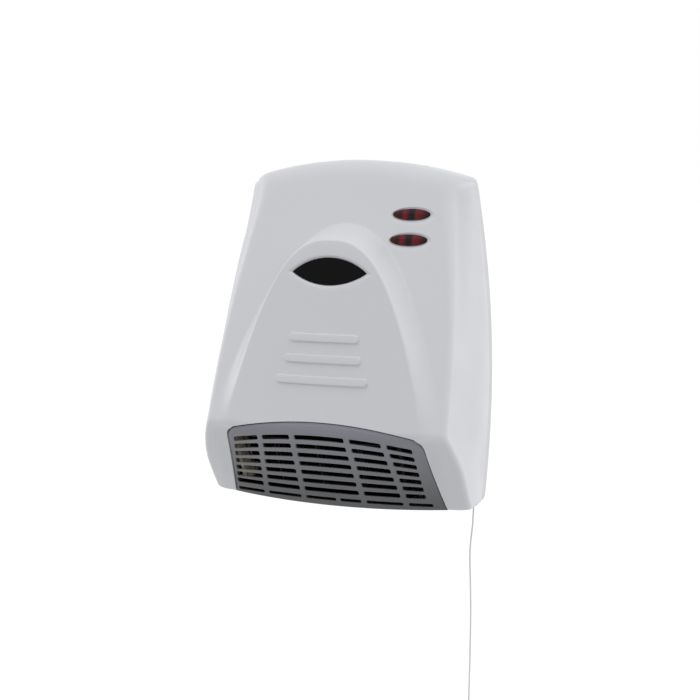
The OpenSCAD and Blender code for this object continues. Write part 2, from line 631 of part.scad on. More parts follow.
// A neon lamp lies along its lens, with its two wires bent back through the carrier
neon_back = wall + seat_gap + 1.2 + seat_gap + neon_d / 2 + 0.3;
carrier_back = neon_back + neon_d / 2 + seat_gap;
carrier_t = 1.6;
neon_l = 16;
module neon(z) {
    on_face(lens_x, z) {
        translate([-neon_l / 2, 0, -neon_back]) rotate([0, 90, 0]) cylinder(h = neon_l, d = neon_d, $fn = 32);
        for (s = [-1, 1]) translate([s * (neon_l / 2 - 1.5), 0, -carrier_back - carrier_t - 1.5])
            cylinder(h = carrier_back + carrier_t + 1.5 - neon_back, r = 0.4, $fn = 16);
    }
}
module upper_neon() { color([0.95, 0.7, 0.5]) neon(lens_zs[0]); }
module lower_neon() { color([0.95, 0.7, 0.5]) neon(lens_zs[1]); }
carrier_half_w = 21;
carrier_half_h = 10;
module lamp_carrier() {
    mid = (lens_zs[0] + lens_zs[1]) / 2;
    color([0.85, 0.8, 0.6]) difference() {
        on_face(lens_x, mid) {
            translate([-carrier_half_w, -lens_pitch / 2 - carrier_half_h, -carrier_back - carrier_t])
                cube([2 * carrier_half_w, lens_pitch + 2 * carrier_half_h, carrier_t]);
            for (s = [-1, 1]) translate([s * (carrier_half_w - 2), 0, -carrier_back - 0.1])
                cylinder(h = carrier_back + 0.1 - wall - 0.45, r = 1.6, $fn = 32);
        }
        for (z = lens_zs) on_face(lens_x, z) for (s = [-1, 1])
            translate([s * (neon_l / 2 - 1.5), 0, -carrier_back - carrier_t - 3]) cylinder(h = carrier_t + 6, r = 0.6, $fn = 16);
    }
}

// ---- Intake screen: a perforated strip bent to the arch, just below the slots ----
screen_half = 68;
screen_t = 1;
screen_drop = 1.6;
function screen_z(x) = top_z(x) - wall - seat_gap - screen_drop;
module intake_screen() {
    color([0.8, 0.8, 0.8]) difference() {
        through(intake_d0 - 1, intake_d0 + 12) polygon(concat(
            [for (i = [-8:8]) let (x = screen_half * i / 8) [x, screen_z(x)]],
            [for (i = [8:-1:-8]) let (x = screen_half * i / 8) [x, screen_z(x) - screen_t]]));
        for (i = [0:intake_slots - 1], k = [0:2])
            let (x = intake_pitch * (i - (intake_slots - 1) / 2))
            translate([x - 3.6, -intake_d0 - 3.6 - 4 * k, screen_z(x) - 8]) cube([7.2, 2.6, 14]);
    }
}

// ---- Place of the heating element in the outlet, parallel to the chin ----
element_h = 47.2;
element_back = 24.4;
element_z = foot + element_h;
// Middle of the element as (depth, z), set back square from the chin's surface
element_mid = [chin_mid(element_z - element_back * sin(chin_angle)) - element_back * cos(chin_angle), element_z];
function element_corner(s, n) = element_mid
    + s * element_l / 2 * [-sin(chin_angle), -cos(chin_angle)]
    + n * element_t / 2 * [-cos(chin_angle), sin(chin_angle)];

// ---- Blower: two end plates carry the scroll, the tongue and the bearings ----
fan_z = foot + fan_h;
fan_r = fan_d / 2;
left_plate_x = fan_left - 6;
right_plate_x = fan_right + 9;
foot_d = 6;
plate_in = seat_gap;
scroll_start = 110;
scroll_end = 200;
function scroll_r(a) = fan_r + 1.5 + (a - scroll_start) / 160 * 9;
function fan_polar(r, a) = [fan_depth + r * cos(a), fan_z + r * sin(a)];
outlet_back = [62, foot + 15];
outlet_lip = [74, foot + 9.5];
module blower_scroll() {
    inner = concat([for (a = [scroll_start:10:scroll_end]) fan_polar(scroll_r(a), a)], [outlet_back, outlet_lip]);
    color([0.75, 0.76, 0.78]) across(left_plate_x + sheet / 2 + plate_in, right_plate_x - sheet / 2 - plate_in)
        sheet_strip(inner, sheet);
}
// A bent sheet along a list of points, thickened to one side
module sheet_strip(p, t) {
    n = len(p);
    function side(i) = let (a = p[max(i - 1, 0)], b = p[min(i + 1, n - 1)], v = (b - a) / norm(b - a)) [v[1], -v[0]];
    polygon(concat(p, [for (i = [n - 1:-1:0]) p[i] + t * side(i)]));
}
tongue_tip = [fan_depth + fan_r - 0.2, fan_z - 12];
module vortex_tongue() {
    end = element_corner(-1, -1) + [2.2, 3.4];
    color([0.75, 0.76, 0.78]) across(left_plate_x + sheet / 2 + plate_in, right_plate_x - sheet / 2 - plate_in)
        sheet_strip([tongue_tip + [5.5, 4], tongue_tip + [1.6, 2.6], tongue_tip, tongue_tip + [2, -6],
            end + [-5, 9], end], -sheet);
}
// Outline of both end plates in (depth, z), and the feet that stand on the rear housing
plate_top_z = fan_z + fan_r + 8;
plate_outline = [[foot_d + 0.3, plate_top_z - 14], [20, plate_top_z], [54, plate_top_z], [68, plate_top_z - 12],
    [72, fan_z + 6], [76, fan_z - 18], element_corner(-1, -1) + [3.5, 1], element_corner(-1, 1) + [2, -3],
    outlet_lip + [0.6, -1.2], [foot_d + 0.3, foot + 30]];
plate_foot_zs = [plate_top_z - 24, foot + 44];
foot_reach = 5;
plate_feet = [for (z = plate_foot_zs) each [[left_plate_x + foot_reach + 3, z], [right_plate_x - foot_reach - 3, z]]];
module end_plate(x, toward, hole_r) {
    difference() {
        union() {
            across(x - sheet / 2, x + sheet / 2) polygon(plate_outline);
            for (z = plate_foot_zs) block(min(x, x + toward * 13), max(x, x + toward * 13), foot_d + 0.3,
                foot_d + 0.3 + sheet, z - 6, z + 6);
        }
        rod_x(x - 5, x + 5, fan_depth, fan_z, hole_r);
        for (z = plate_foot_zs) rod_y(0, foot_d + 8, x + toward * (foot_reach + 3), z, screw_r);
        children();
    }
}
bush_grommet_r = 8;
module left_end_plate() { color([0.72, 0.73, 0.75]) end_plate(left_plate_x, 1, bush_grommet_r); }
module right_end_plate() {
    color([0.72, 0.73, 0.75]) end_plate(right_plate_x, -1, bearing_r + 4.3)
        for (p = motor_bolts) rod_x(right_plate_x - 5, right_plate_x + 5, p[0], p[1], 1.7);
}
module blower_screws() {
    color([0.6, 0.6, 0.62]) for (p = plate_feet) {
        rod_y(1.6, foot_d + 0.4 + sheet, p[0], p[1], screw_r - 0.3);
        rod_y(foot_d + 0.3 + sheet, foot_d + 2.3 + sheet, p[0], p[1], 3);
    }
}
bush_bore = shaft_d / 2 + slip;
module bearing_bush() {
    color([0.7, 0.55, 0.3]) tube_x(left_plate_x - 3.5, left_plate_x + 3.5, fan_depth, fan_z, 4, bush_bore);
}
module bearing_grommet() {
    color([0.15, 0.15, 0.15]) difference() {
        union() {
            rod_x(left_plate_x - 3, left_plate_x + 3, fan_depth, fan_z, bush_grommet_r - slip);
            for (s = [-1, 1]) rod_x(left_plate_x + s * 1.9 - 1.1, left_plate_x + s * 1.9 + 1.1, fan_depth, fan_z,
                bush_grommet_r + 2);
        }
        rod_x(left_plate_x - 5, left_plate_x + 5, fan_depth, fan_z, 4 + slip);
    }
}

// ---- Impeller ----
blade_t = 0.6;
blade_in = fan_r - 4.6;
module blade() {
    // A forward-curved blade from the inner to the outer radius
    polygon(concat([for (t = [0:0.25:1]) fan_blade(t, 0)], [for (t = [1:-0.25:0]) fan_blade(t, blade_t)]));
}
function fan_blade(t, side) = let (r = mix(blade_in, fan_r, t), a = 14 * t * t + side * 57.3 / r) [r * cos(a), r * sin(a)];
module impeller() {
    color([0.25, 0.27, 0.3]) difference() {
        union() {
            at(fan_left, fan_depth, fan_z) rotate([90, 0, 90]) linear_extrude(fan_right - fan_left)
                for (i = [0:blades - 1]) rotate(360 * i / blades) blade();
            for (x = [fan_left, (fan_left + fan_right) / 2 - 0.5, fan_right - 1])
                rod_x(x, x + 1, fan_depth, fan_z, fan_r + 0.2);
            rod_x(fan_left, fan_left + 6, fan_depth, fan_z, 5);
            rod_x(fan_right - 8, fan_right, fan_depth, fan_z, 6);
        }
        rod_x(fan_left - 5, fan_right + 5, fan_depth, fan_z, shaft_d / 2 + slip);
    }
}
module rotor_shaft() {
    color([0.8, 0.8, 0.82]) rod_x(left_plate_x - 5, motor_x1 + 12, fan_depth, fan_z, shaft_d / 2);
}

// ---- Shaded-pole motor on the right end plate ----
motor_gap = 8.6;
motor_x0 = right_plate_x + motor_gap;
motor_x1 = motor_x0 + stack_w;
stator_bore = rotor_d / 2 + rotor_gap;
stack_half = 18;
stack_top = fan_z + 17;
stack_foot = fan_z - 48;
leg_h = 12;
window_top = fan_z - 18;
motor_bolts = [for (s = [-1, 1]) [fan_depth + s * (stack_half - 5.5), fan_z + 12.5]];
module motor_rotor() {
    color([0.7, 0.7, 0.72]) difference() {
        union() {
            rod_x(motor_x0, motor_x1, fan_depth, fan_z, rotor_d / 2);
            rod_x(motor_x0 - 1.5, motor_x1 + 1.5, fan_depth, fan_z, rotor_d / 2 - 2);
        }
        rod_x(motor_x0 - 3, motor_x1 + 3, fan_depth, fan_z, shaft_d / 2 + slip);
    }
}
module motor_stator() {
    color([0.45, 0.46, 0.48]) difference() {
        block(motor_x0, motor_x1, fan_depth - stack_half, fan_depth + stack_half, stack_foot, stack_top);
        rod_x(motor_x0 - 1, motor_x1 + 1, fan_depth, fan_z, stator_bore);
        block(motor_x0 - 1, motor_x1 + 1, fan_depth - stack_half + 8, fan_depth + stack_half - 8,
            stack_foot + leg_h, window_top);
        for (p = motor_bolts) rod_x(motor_x0 - 1, motor_x1 + 1, p[0], p[1], 1.7);
        for (s = [-1, 1]) shading_slot(s);
    }
}
// Two slots in the pole faces hold the copper shading rings
ring_at = 13.6;
module shading_slot(s) {
    block(motor_x0 - 1, motor_x1 + 1, fan_depth + s * ring_at - 1.3, fan_depth + s * ring_at + 1.3,
        fan_z - s * 6 - 1.3, fan_z - s * 6 + 1.3);
}
module shading_rings() {
    color([0.75, 0.42, 0.22]) for (s = [-1, 1]) {
        block(motor_x0 - 1.6, motor_x1 + 1.6, fan_depth + s * ring_at - 1, fan_depth + s * ring_at + 1,
            fan_z - s * 6 - 1, fan_z - s * 6 + 1);
        for (x = [motor_x0 - 1.6, motor_x1 + 0.3])
            block(x, x + 1.3, fan_depth + s * ring_at - 1, fan_depth + s * ring_at + 1,
                fan_z - (s > 0 ? 7 : 1), fan_z + (s > 0 ? 1 : 7));
    }
}
coil_build = 6.5;
coil_half = stack_half - 9;
module motor_coil() {
    leg_mid = stack_foot + leg_h / 2;
    color([0.68, 0.36, 0.18]) difference() {
        union() {
            across(motor_x0 - coil_build, motor_x1 + coil_build) translate([fan_depth, leg_mid])
                rounded([2 * coil_half - 3, leg_h + 2 * coil_build], 3);
            for (s = [-1, 1]) across(motor_x0 - coil_build - 0.8, motor_x1 + coil_build + 0.8)
                translate([fan_depth + s * (coil_half - 0.8), leg_mid]) square([1.6, leg_h + 2 * coil_build + 1.2], center = true);
        }
        block(motor_x0 - seat_gap, motor_x1 + seat_gap, 0, 100, stack_foot - seat_gap, stack_foot + leg_h + seat_gap);
    }
}
module rounded(size, r) {
    x = size[0] / 2 - r;
    y = size[1] / 2 - r;
    square([2 * x, size[1]], center = true);
    square([size[0], 2 * y], center = true);
    for (s = [-1, 1], t = [-1, 1]) translate([s * x, t * y]) circle(r, $fn = 32);
}
bracket_off = 4;
bearing_r = 4;
// A cast strap across the stack with a seat for its bearing
module bracket(face, out) {
    x = face + out * bracket_off;
    difference() {
        union() {
            block(min(x, x + out * 2), max(x, x + out * 2), fan_depth - stack_half + 1.5,
                fan_depth + stack_half - 1.5, fan_z + 8, fan_z + 17);
            block(min(x, x + out * 2), max(x, x + out * 2), fan_depth - 6, fan_depth + 6, fan_z - 8, fan_z + 9);
            rod_x(min(x, x + out * 4), max(x, x + out * 4), fan_depth, fan_z, bearing_r + 3);
            for (p = motor_bolts) rod_x(min(face + out * seat_gap, x), max(face + out * seat_gap, x), p[0], p[1], 3.2);
        }
        rod_x(x - 8, x + 8, fan_depth, fan_z, bearing_r + slip);
        for (p = motor_bolts) rod_x(x - 8, x + 8, p[0], p[1], 1.7);
    }
}
module motor_bracket_inner() { color([0.7, 0.71, 0.72]) bracket(motor_x0, -1); }
module motor_bracket_outer() { color([0.7, 0.71, 0.72]) bracket(motor_x1, 1); }
module motor_bearings() {
    color([0.7, 0.55, 0.3]) for (x = [motor_x0 - bracket_off - 4, motor_x1 + bracket_off])
        tube_x(x, x + 4, fan_depth, fan_z, bearing_r, bush_bore);
}
// Two long screws clamp brackets and stack to the end plate, over spacer sleeves
module motor_screws() {
    sleeve_x0 = right_plate_x + sheet / 2 + 0.05;
    sleeve_x1 = motor_x0 - bracket_off - 2 - 0.05;
    color([0.6, 0.6, 0.62]) for (p = motor_bolts) {
        rod_x(right_plate_x - 3, motor_x1 + bracket_off + 2.1, p[0], p[1], 1.5);
        rod_x(motor_x1 + bracket_off + 2.05, motor_x1 + bracket_off + 4, p[0], p[1], 2.7);
        rod_x(right_plate_x - sheet / 2 - 2.6, right_plate_x - sheet / 2 - 0.05, p[0], p[1], 3);
        rod_x(sleeve_x0, sleeve_x1, p[0], p[1], 3);
    }
}

// ---- Heating element ----
element_x0 = left_plate_x + sheet / 2 + 3;
element_x1 = right_plate_x - sheet / 2 - 3;
// Local X across, local Y down the slope, local Z away from the grille
module at_element() {
    at(0, element_mid[0], element_mid[1]) rotate([-(90 - chin_angle), 0, 0]) children();
}
mica_t = 1;
rail_x0 = left_plate_x + sheet / 2 + seat_gap;
rail_x1 = right_plate_x - sheet / 2 - seat_gap;
plate_t = 3;
comb_n = 3;
module mica_plate(x, t) { translate([x, -element_l / 2, -element_t / 2]) cube([t, element_l, element_t]); }
module element_frame() {
    color([0.82, 0.74, 0.58]) difference() {
        at_element() {
            mica_plate(element_x0, plate_t);
            mica_plate(element_x1 - plate_t, plate_t);
            for (i = [1:comb_n]) mica_plate(mix(element_x0, element_x1, i / (comb_n + 1)) - mica_t / 2, mica_t);
            for (s = [-1, 1]) translate([rail_x0, s * (element_l / 2 - 0.5) - 0.5, -element_t / 2])
                cube([rail_x1 - rail_x0, 1, element_t]);
        }
        at_element() for (i = [1:comb_n], z = wire_levels)
            translate([mix(element_x0, element_x1, i / (comb_n + 1)) - 5, -element_l / 2 + 3, z - 1])
                cube([10, element_l - 6, 2]);
    }
}
wire_levels = [-4.5, 4.5];
wire_end = 3.5;
// One zigzag of ribbon wire: it runs up and down the slope and steps across by half a pitch
function zigzag(z) = let (x0 = element_x0 + plate_t + wire_end, n = floor((element_x1 - plate_t - wire_end - x0) / (wire_pitch / 2)))
    concat([[element_x0 + plate_t + 0.3, -element_l / 2 + 5, z], [x0 - 2, -element_l / 2 + 5, z]],
        [for (i = [0:n]) [x0 + i * wire_pitch / 2, (i % 2 == 0 ? -1 : 1) * (element_l / 2 - 5), z]]);
module heating_wire(z) { at_element() swept(zigzag(z), wire_d / 2, 6); }
module heating_wire_low() { color([0.55, 0.45, 0.4]) heating_wire(wire_levels[0]); }
module heating_wire_high() { color([0.55, 0.45, 0.4]) heating_wire(wire_levels[1]); }
cutout_x = mix(element_x0, element_x1, 1 / (comb_n + 1));
module thermal_cutout() {
    color([0.85, 0.83, 0.78]) at_element() translate([cutout_x, -element_l / 2 + 12, element_t / 2 + seat_gap]) {
        cylinder(h = 1, r = 8, $fn = 48);
        cylinder(h = 8, r = 6.5, $fn = 48);
        for (s = [-1, 1]) translate([s * 4 - 1.6, -0.4, 7]) cube([3.2, 0.8, 7]);
    }
}
module thermal_fuse() {
    color([0.8, 0.8, 0.8]) at_element() translate([cutout_x + 24, -element_l / 2 + 0.5, element_t / 2 + seat_gap + 2])
        rotate([0, 90, 0]) {
            cylinder(h = 11, r = 2, $fn = 32);
            translate([0, 0, -9]) cylinder(h = 29, r = 0.4, $fn = 16);
        }
}
// A round tube along a list of points: one closed solid, with flat ends
function unit(v) = v / norm(v);
function path_dir(p, i) = let (n = len(p)) i == 0 ? unit(p[1] - p[0]) : i == n - 1 ? unit(p[i] - p[i - 1])
    : unit(unit(p[i + 1] - p[i]) + unit(p[i] - p[i - 1]));
function square_to(v, ref) = unit(ref - (ref * v) * v);
// The ring's first direction is carried from point to point, so the tube never twists
function carry(p, i, u, out) = i == len(p) ? out
    : let (w = square_to(path_dir(p, i), u)) carry(p, i + 1, w, concat(out, [w]));
module swept(p, r, sides, first = [0, 0, 1]) {
    ups = carry(p, 0, first, []);
    n = len(p);
    points = [for (i = [0:n - 1]) let (u = ups[i], v = cross(path_dir(p, i), u))
        for (k = [0:sides - 1]) p[i] + r * (cos(360 * k / sides) * u + sin(360 * k / sides) * v)];
    faces = concat([[for (k = [0:sides - 1]) k]], [[for (k = [sides - 1:-1:0]) (n - 1) * sides + k]],
        [for (i = [0:n - 2]) for (k = [0:sides - 1]) let (a = i * sides + k, b = i * sides + (k + 1) % sides)
            each [[a, a + sides, b], [b, a + sides, b + sides]]]);
    polyhedron(points = points, faces = faces, convexity = 10);
}

// ---- Supply side: grommet, clamp and terminal block ----
term_x = -18;
term_z = half_h - 62;
term_d = floor_t + 3;
module cable_grommet() {
    color([0.12, 0.12, 0.12]) difference() {
        union() {
            rod_y(0.2, floor_t + 3.2, grommet_x, grommet_z, grommet_r - slip);
            rod_y(floor_t + 1.8, floor_t + 3.4, grommet_x, grommet_z, grommet_r + 2);
        }
        rod_y(-2, floor_t + 9, grommet_x, grommet_z, cable_d / 2);
    }
}
module terminal_block() {
    color([0.9, 0.9, 0.88]) difference() {
        union() {
            block(term_x - 17, term_x + 17, term_d, term_d + 5, term_z - 6, term_z + 6);
            for (i = [-1:1]) block(term_x + 10.5 * i - 3.6, term_x + 10.5 * i + 3.6, term_d, term_d + 13, term_z - 8, term_z + 8);
        }
        for (i = [-1:1]) {
            at(term_x + 10.5 * i, term_d + 6, term_z - 10) cylinder(h = 20, r = 1.9, $fn = 32);
            rod_y(term_d + 6, term_d + 15, term_x + 10.5 * i, term_z + 4, 1.6);
        }
    }
}
module terminal_screws() {
    color([0.75, 0.65, 0.4]) for (i = [-1:1])
        rod_y(term_d + 8.2, term_d + 12.5, term_x + 10.5 * i, term_z + 4, 1.5);
}
module cable_clamp() {
    z = grommet_z - 20;
    color([0.88, 0.88, 0.86]) difference() {
        union() {
            block(grommet_x - 12, grommet_x + 12, floor_t + 0.05, floor_t + 3.4, z - 4, z + 4);
            rod_z(z - 4, z + 4, grommet_x, floor_t + 4, cable_d / 2 + 2);
        }
        rod_z(z - 5, z + 5, grommet_x, floor_t + 4, cable_d / 2);
        block(grommet_x - 20, grommet_x + 20, floor_t - 6, floor_t + 0.05, z - 6, z + 6);
        for (s = [-1, 1]) rod_y(0, floor_t + 8, grommet_x + 9 * s, z, 1.2);
    }
}
module cover_screws() {
    color([0.6, 0.6, 0.62]) for (x = [-cover_screw_x, cover_screw_x]) {
        rod_z(foot_z(x) - 0.3, foot_z(x) + 11, x, cover_screw_d, screw_r - 0.35);
        rod_z(foot_z(x) - 2.4, foot_z(x) - 0.25, x, cover_screw_d, 3.2);
    }
}

// ---- Pull switch in the lower right corner ----
wheel_x = cord_x - 11.6;
wheel_z = foot + 38;
case_x0 = cord_x - 25.6;
case_x1 = cord_x + 4.1;
case_z0 = foot + 16;
case_z1 = foot + 54;
case_d0 = 3.3;
case_d1 = 24;
case_t = 1.3;
peg_r = peg_d / 2;
hook_gap = 0.35;
hook_z = wheel_z + peg_ring_r * sin(45) + peg_r + hook_gap;
hook_t = 3;
slider_half = 2.4;
slider_top = hook_z + hook_t + 4;
slider_foot = hook_z - 8;
spring_foot = case_z0 + case_t + 0.2;
module switch_case() {
    color([0.9, 0.88, 0.8]) difference() {
        block(case_x0, case_x1, case_d0, case_d1, case_z0, case_z1);
        block(case_x0 + case_t, case_x1 - case_t, case_d0 + case_t, case_d1 + 1, case_z0 + case_t, case_z1 - case_t);
        rod_z(case_z0 - 2, case_z0 + 4, cord_x, cord_depth, cord_d / 2 + 0.6);
        rod_y(case_d0 - 1, case_d0 + 4, wheel_x, wheel_z, axle_r + slip);
    }
}
axle_r = 1.5;
module wheel_axle() {
    color([0.75, 0.75, 0.77]) rod_y(case_d0 + 0.2, case_d1 + case_t - 0.3, wheel_x, wheel_z, axle_r);
}
module switch_lid() {
    color([0.9, 0.88, 0.8]) difference() {
        block(case_x0, case_x1, case_d1 + 0.1, case_d1 + 0.1 + case_t, case_z0, case_z1);
        rod_y(case_d1 - 1, case_d1 + 4, wheel_x, wheel_z, axle_r + slip);
        for (s = [-1, 1]) block(wheel_x + 6 * s - 1.6, wheel_x + 6 * s + 1.6, case_d1 - 1, case_d1 + 3,
            case_z1 - 8, case_z1 - 6.4);
    }
}
// Wheel: pegs towards the wall, a toothed disc, and a cam with four lobes
module switch_wheel() {
    color([0.85, 0.2, 0.2]) difference() {
        union() {
            for (a = [45:90:315]) rod_y(cord_depth - 2, cord_depth + 4.2, wheel_x + peg_ring_r * cos(a),
                wheel_z + peg_ring_r * sin(a), peg_r);
            rod_y(cord_depth + 4, cord_depth + 7, wheel_x, wheel_z, peg_ring_r + peg_r + 0.4);
            through(cord_depth + 6.9, cord_depth + 11.5) translate([wheel_x, wheel_z]) intersection() {
                circle(6.4, $fn = 48);
                square(10, center = true);
            }
            rod_y(cord_depth - 1.5, cord_depth + 4.2, wheel_x, wheel_z, axle_r + 1.4);
        }
        rod_y(0, case_d1 + 5, wheel_x, wheel_z, axle_r + slip);
    }
}
module contact_springs() {
    // Two leaf contacts that hang from the lid's slots and ride beside the cam
    color([0.8, 0.6, 0.3]) for (s = [-1, 1]) {
        block(wheel_x + 7 * s - 0.25, wheel_x + 7 * s + 0.25, cord_depth + 7.6, cord_depth + 11.2, wheel_z - 4, case_z1 - 7);
        block(wheel_x + 7 * s - (s < 0 ? 0.25 : 1.2), wheel_x + 7 * s + (s < 0 ? 1.2 : 0.25), cord_depth + 7.6, case_d1 + 6,
            case_z1 - 7.5, case_z1 - 7);
    }
}
module pull_slider() {
    color([0.2, 0.35, 0.7]) union() {
        block(cord_x - slider_half, cord_x + slider_half, cord_depth - 2.6, cord_depth + 2.6, slider_foot, slider_top);
        block(wheel_x + 4.2, cord_x, cord_depth - 1.6, cord_depth + 2.4, hook_z, hook_z + hook_t);
    }
}
spring_turns = 5;
spring_wire = 0.6;
spring_r = 1.9;
spring_rings = 8;
module return_spring() {
    z0 = spring_foot + spring_wire / 2;
    z1 = slider_foot - 0.2 - spring_wire / 2;
    color([0.75, 0.76, 0.78]) swept([for (i = [0:spring_turns * spring_rings]) let (a = 360 * i / spring_rings)
        [cord_x + spring_r * cos(a), -cord_depth + spring_r * sin(a), mix(z0, z1, i / (spring_turns * spring_rings))]],
        spring_wire / 2, 6);
}
module cord_bush() {
    z = foot_z(cord_x);
    color([0.9, 0.9, 0.9]) difference() {
        union() {
            rod_z(z - 0.6, z + 8, cord_x, cord_depth, bush_r);
            rod_z(z - 2.1, z - 0.55, cord_x, cord_depth, bush_r + 0.9);
        }
        rod_z(z - 3, z + 12, cord_x, cord_depth, cord_d / 2 + 0.5);
    }
}

// ---- Pull cord: its free stretch, the hank that ties up the spare length, and the bob ----
cord_points = [[105.6, -8, -113.2], [105.6, -8, -150], [105.5, -8, -158], [105.3, -8, -165], [105, -8, -172],
    [104.3, -8, -180], [103.6, -8, -188], [103.2, -8, -196], [103.2, -8, -204], [103.5, -8, -213],
    [104, -8, -224], [104.5, -8, -237], [104.9, -8, -252], [105.1, -8, -270], [105.1, -8, -290],
    [105, -8, -310], [104.9, -8, -328], [104.9, -8, -342]];
hank_top = cord_points[len(cord_points) - 1];
ring_gap = 3.8;
function smooth(p, i, t) = let (n = len(p), a = p[max(i - 1, 0)], b = p[i], c = p[i + 1], d = p[min(i + 2, n - 1)])
    0.5 * (2 * b + (c - a) * t + (2 * a - 5 * b + 4 * c - d) * t * t + (3 * b - a - 3 * c + d) * t * t * t);
function refined(p) = concat([for (i = [0:len(p) - 2]) let (k = max(1, round(norm(p[i + 1] - p[i]) / ring_gap)))
    for (s = [0:k - 1]) smooth(p, i, s / k)], [p[len(p) - 1]]);
module pull_cord() { color([0.96, 0.96, 0.95]) swept(refined(cord_points), cord_d / 2, 8, [1, 0, 0]); }
// The hank lies in two layers: the loops wind in on the first and out again on the second
hank_half = 12;
hank_loops = 4;
loop_rings = 24;
loop_step = 2.35;
fold_r = 4.5;
layer_step = 2;
waist = 0.86;
hank_lead = 11;
hank_rings = hank_loops * loop_rings;
function loop_r(i) = fold_r + loop_step * abs(i - hank_rings / 2) / loop_rings;
outer_r = loop_r(0);
hank_x = hank_top[0] - outer_r;
hank_z = hank_top[2] - hank_lead - hank_half;
function loop_y(i) = hank_top[1] - layer_step * step((i - hank_rings / 2 + 4) / 8);
function drawn_in(z) = abs(z) >= hank_half ? 1 : 1 - (1 - waist) * pow(cos(90 * z / hank_half), 2);
function loop_xz(i) = let (k = i % loop_rings, r = loop_r(i))
    k < 4 ? let (z = hank_half * (1 - k / 2)) [r * drawn_in(z), z]
    : k < 12 ? let (a = 22.5 * (k - 4)) [r * cos(a), -hank_half - r * sin(a)]
    : k < 16 ? let (z = hank_half * ((k - 12) / 2 - 1)) [-r * drawn_in(z), z]
    : let (a = 22.5 * (k - 16)) [-r * cos(a), hank_half + r * sin(a)];
hank_path = concat([hank_top, hank_top + [0, 0, -hank_lead / 2]],
    [for (i = [0:hank_rings + 4]) let (p = loop_xz(i)) [hank_x + p[0], loop_y(i), hank_z + p[1]]],
    [[hank_x + loop_r(hank_rings + 4), loop_y(hank_rings), hank_z - hank_half - hank_lead]]);
hank_end = hank_path[len(hank_path) - 1];
// Least gap of the hank to itself, between points more than half a loop apart
hank_gap = min([for (i = [0:len(hank_path) - 1]) for (j = [i + loop_rings / 2:1:len(hank_path) - 1])
    norm(hank_path[i] - hank_path[j]) - cord_d]);
echo(hank_least_gap = hank_gap);
module cord_hank() { color([0.96, 0.96, 0.95]) swept(hank_path, cord_d / 2, 6, [1, 0, 0]); }
module hank_tie() {
    half_x = outer_r * waist + cord_d / 2 + seat_gap + loop_step * 4 / loop_rings;
    half_y = layer_step / 2 + cord_d / 2 + seat_gap;
    color([0.3, 0.3, 0.32]) translate([hank_x, hank_top[1] - layer_step / 2, hank_z - 1.75]) difference() {
        linear_extrude(3.5) rounded([2 * half_x + 1.6, 2 * half_y + 1.6], 2);
        translate([0, 0, -1]) linear_extrude(6) rounded([2 * half_x, 2 * half_y], 1.2);
    }
}
bob_r = 4.6;
bob_l = 22;
module cord_bob() {
    color([0.95, 0.95, 0.94]) translate([hank_end[0], hank_end[1], hank_end[2] - bob_l]) rotate_extrude($fn = 48)
        polygon([[0, 0], [bob_r - 1.2, 0], [bob_r, 1.2], [bob_r, 8], [bob_r - 1.4, 16], [2.2, bob_l - 1],
            [1.6, bob_l], [0, bob_l]]);
}

rear_housing();
front_cover();
outlet_grille();
window_insert();
upper_lens();
lower_lens();
upper_neon();
lower_neon();
lamp_carrier();
intake_screen();
blower_scroll();
vortex_tongue();
left_end_plate();
right_end_plate();
bearing_bush();
bearing_grommet();
impeller();
rotor_shaft();
motor_rotor();
motor_stator();
motor_coil();
shading_rings();
motor_bracket_inner();
motor_bracket_outer();
motor_bearings();
motor_screws();
element_frame();
heating_wire_low();
heating_wire_high();
thermal_cutout();
thermal_fuse();
terminal_block();
terminal_screws();
cable_clamp();
cable_grommet();
cover_screws();
blower_screws();
switch_case();
switch_lid();
contact_springs();
wheel_axle();
switch_wheel();
pull_slider();
return_spring();
cord_bush();
pull_cord();
cord_hank();
hank_tie();
cord_bob();
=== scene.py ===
# %% [markdown]
# # A bathroom wall fan heater
#
# The heater hangs on a wall and blows warm air down through a slotted grille under its hood. The
# construction, with its real sizes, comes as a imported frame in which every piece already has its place.
# This script gives that frame its looks: a smooth moulded cover, a grille with rounded bars, lenses, a
# braided pull cord, and a finish for every piece, hidden or not. Each cell does one thing and prints what
# it made, so the file can be read and run from top to bottom like a notebook.

# %% Load the frame
import bpy
import bmesh
import json
import math
import numpy as np
from mathutils import Matrix, Vector


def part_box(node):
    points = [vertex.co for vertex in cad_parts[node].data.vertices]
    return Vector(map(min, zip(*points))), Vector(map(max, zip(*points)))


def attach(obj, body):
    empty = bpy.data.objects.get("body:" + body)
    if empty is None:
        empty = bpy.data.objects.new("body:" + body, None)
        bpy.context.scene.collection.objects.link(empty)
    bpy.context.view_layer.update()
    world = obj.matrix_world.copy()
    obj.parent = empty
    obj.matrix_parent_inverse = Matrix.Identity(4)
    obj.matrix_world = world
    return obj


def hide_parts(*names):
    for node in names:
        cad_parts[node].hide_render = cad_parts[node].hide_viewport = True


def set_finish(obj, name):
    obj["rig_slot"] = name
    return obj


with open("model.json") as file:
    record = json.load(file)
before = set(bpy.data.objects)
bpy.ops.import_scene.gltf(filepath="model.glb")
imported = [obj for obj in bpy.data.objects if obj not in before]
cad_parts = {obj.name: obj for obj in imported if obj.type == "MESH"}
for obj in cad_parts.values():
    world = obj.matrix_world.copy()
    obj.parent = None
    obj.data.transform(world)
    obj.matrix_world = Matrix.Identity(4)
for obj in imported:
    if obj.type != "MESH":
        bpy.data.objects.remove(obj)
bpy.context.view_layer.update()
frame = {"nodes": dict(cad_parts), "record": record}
nodes = frame["nodes"]

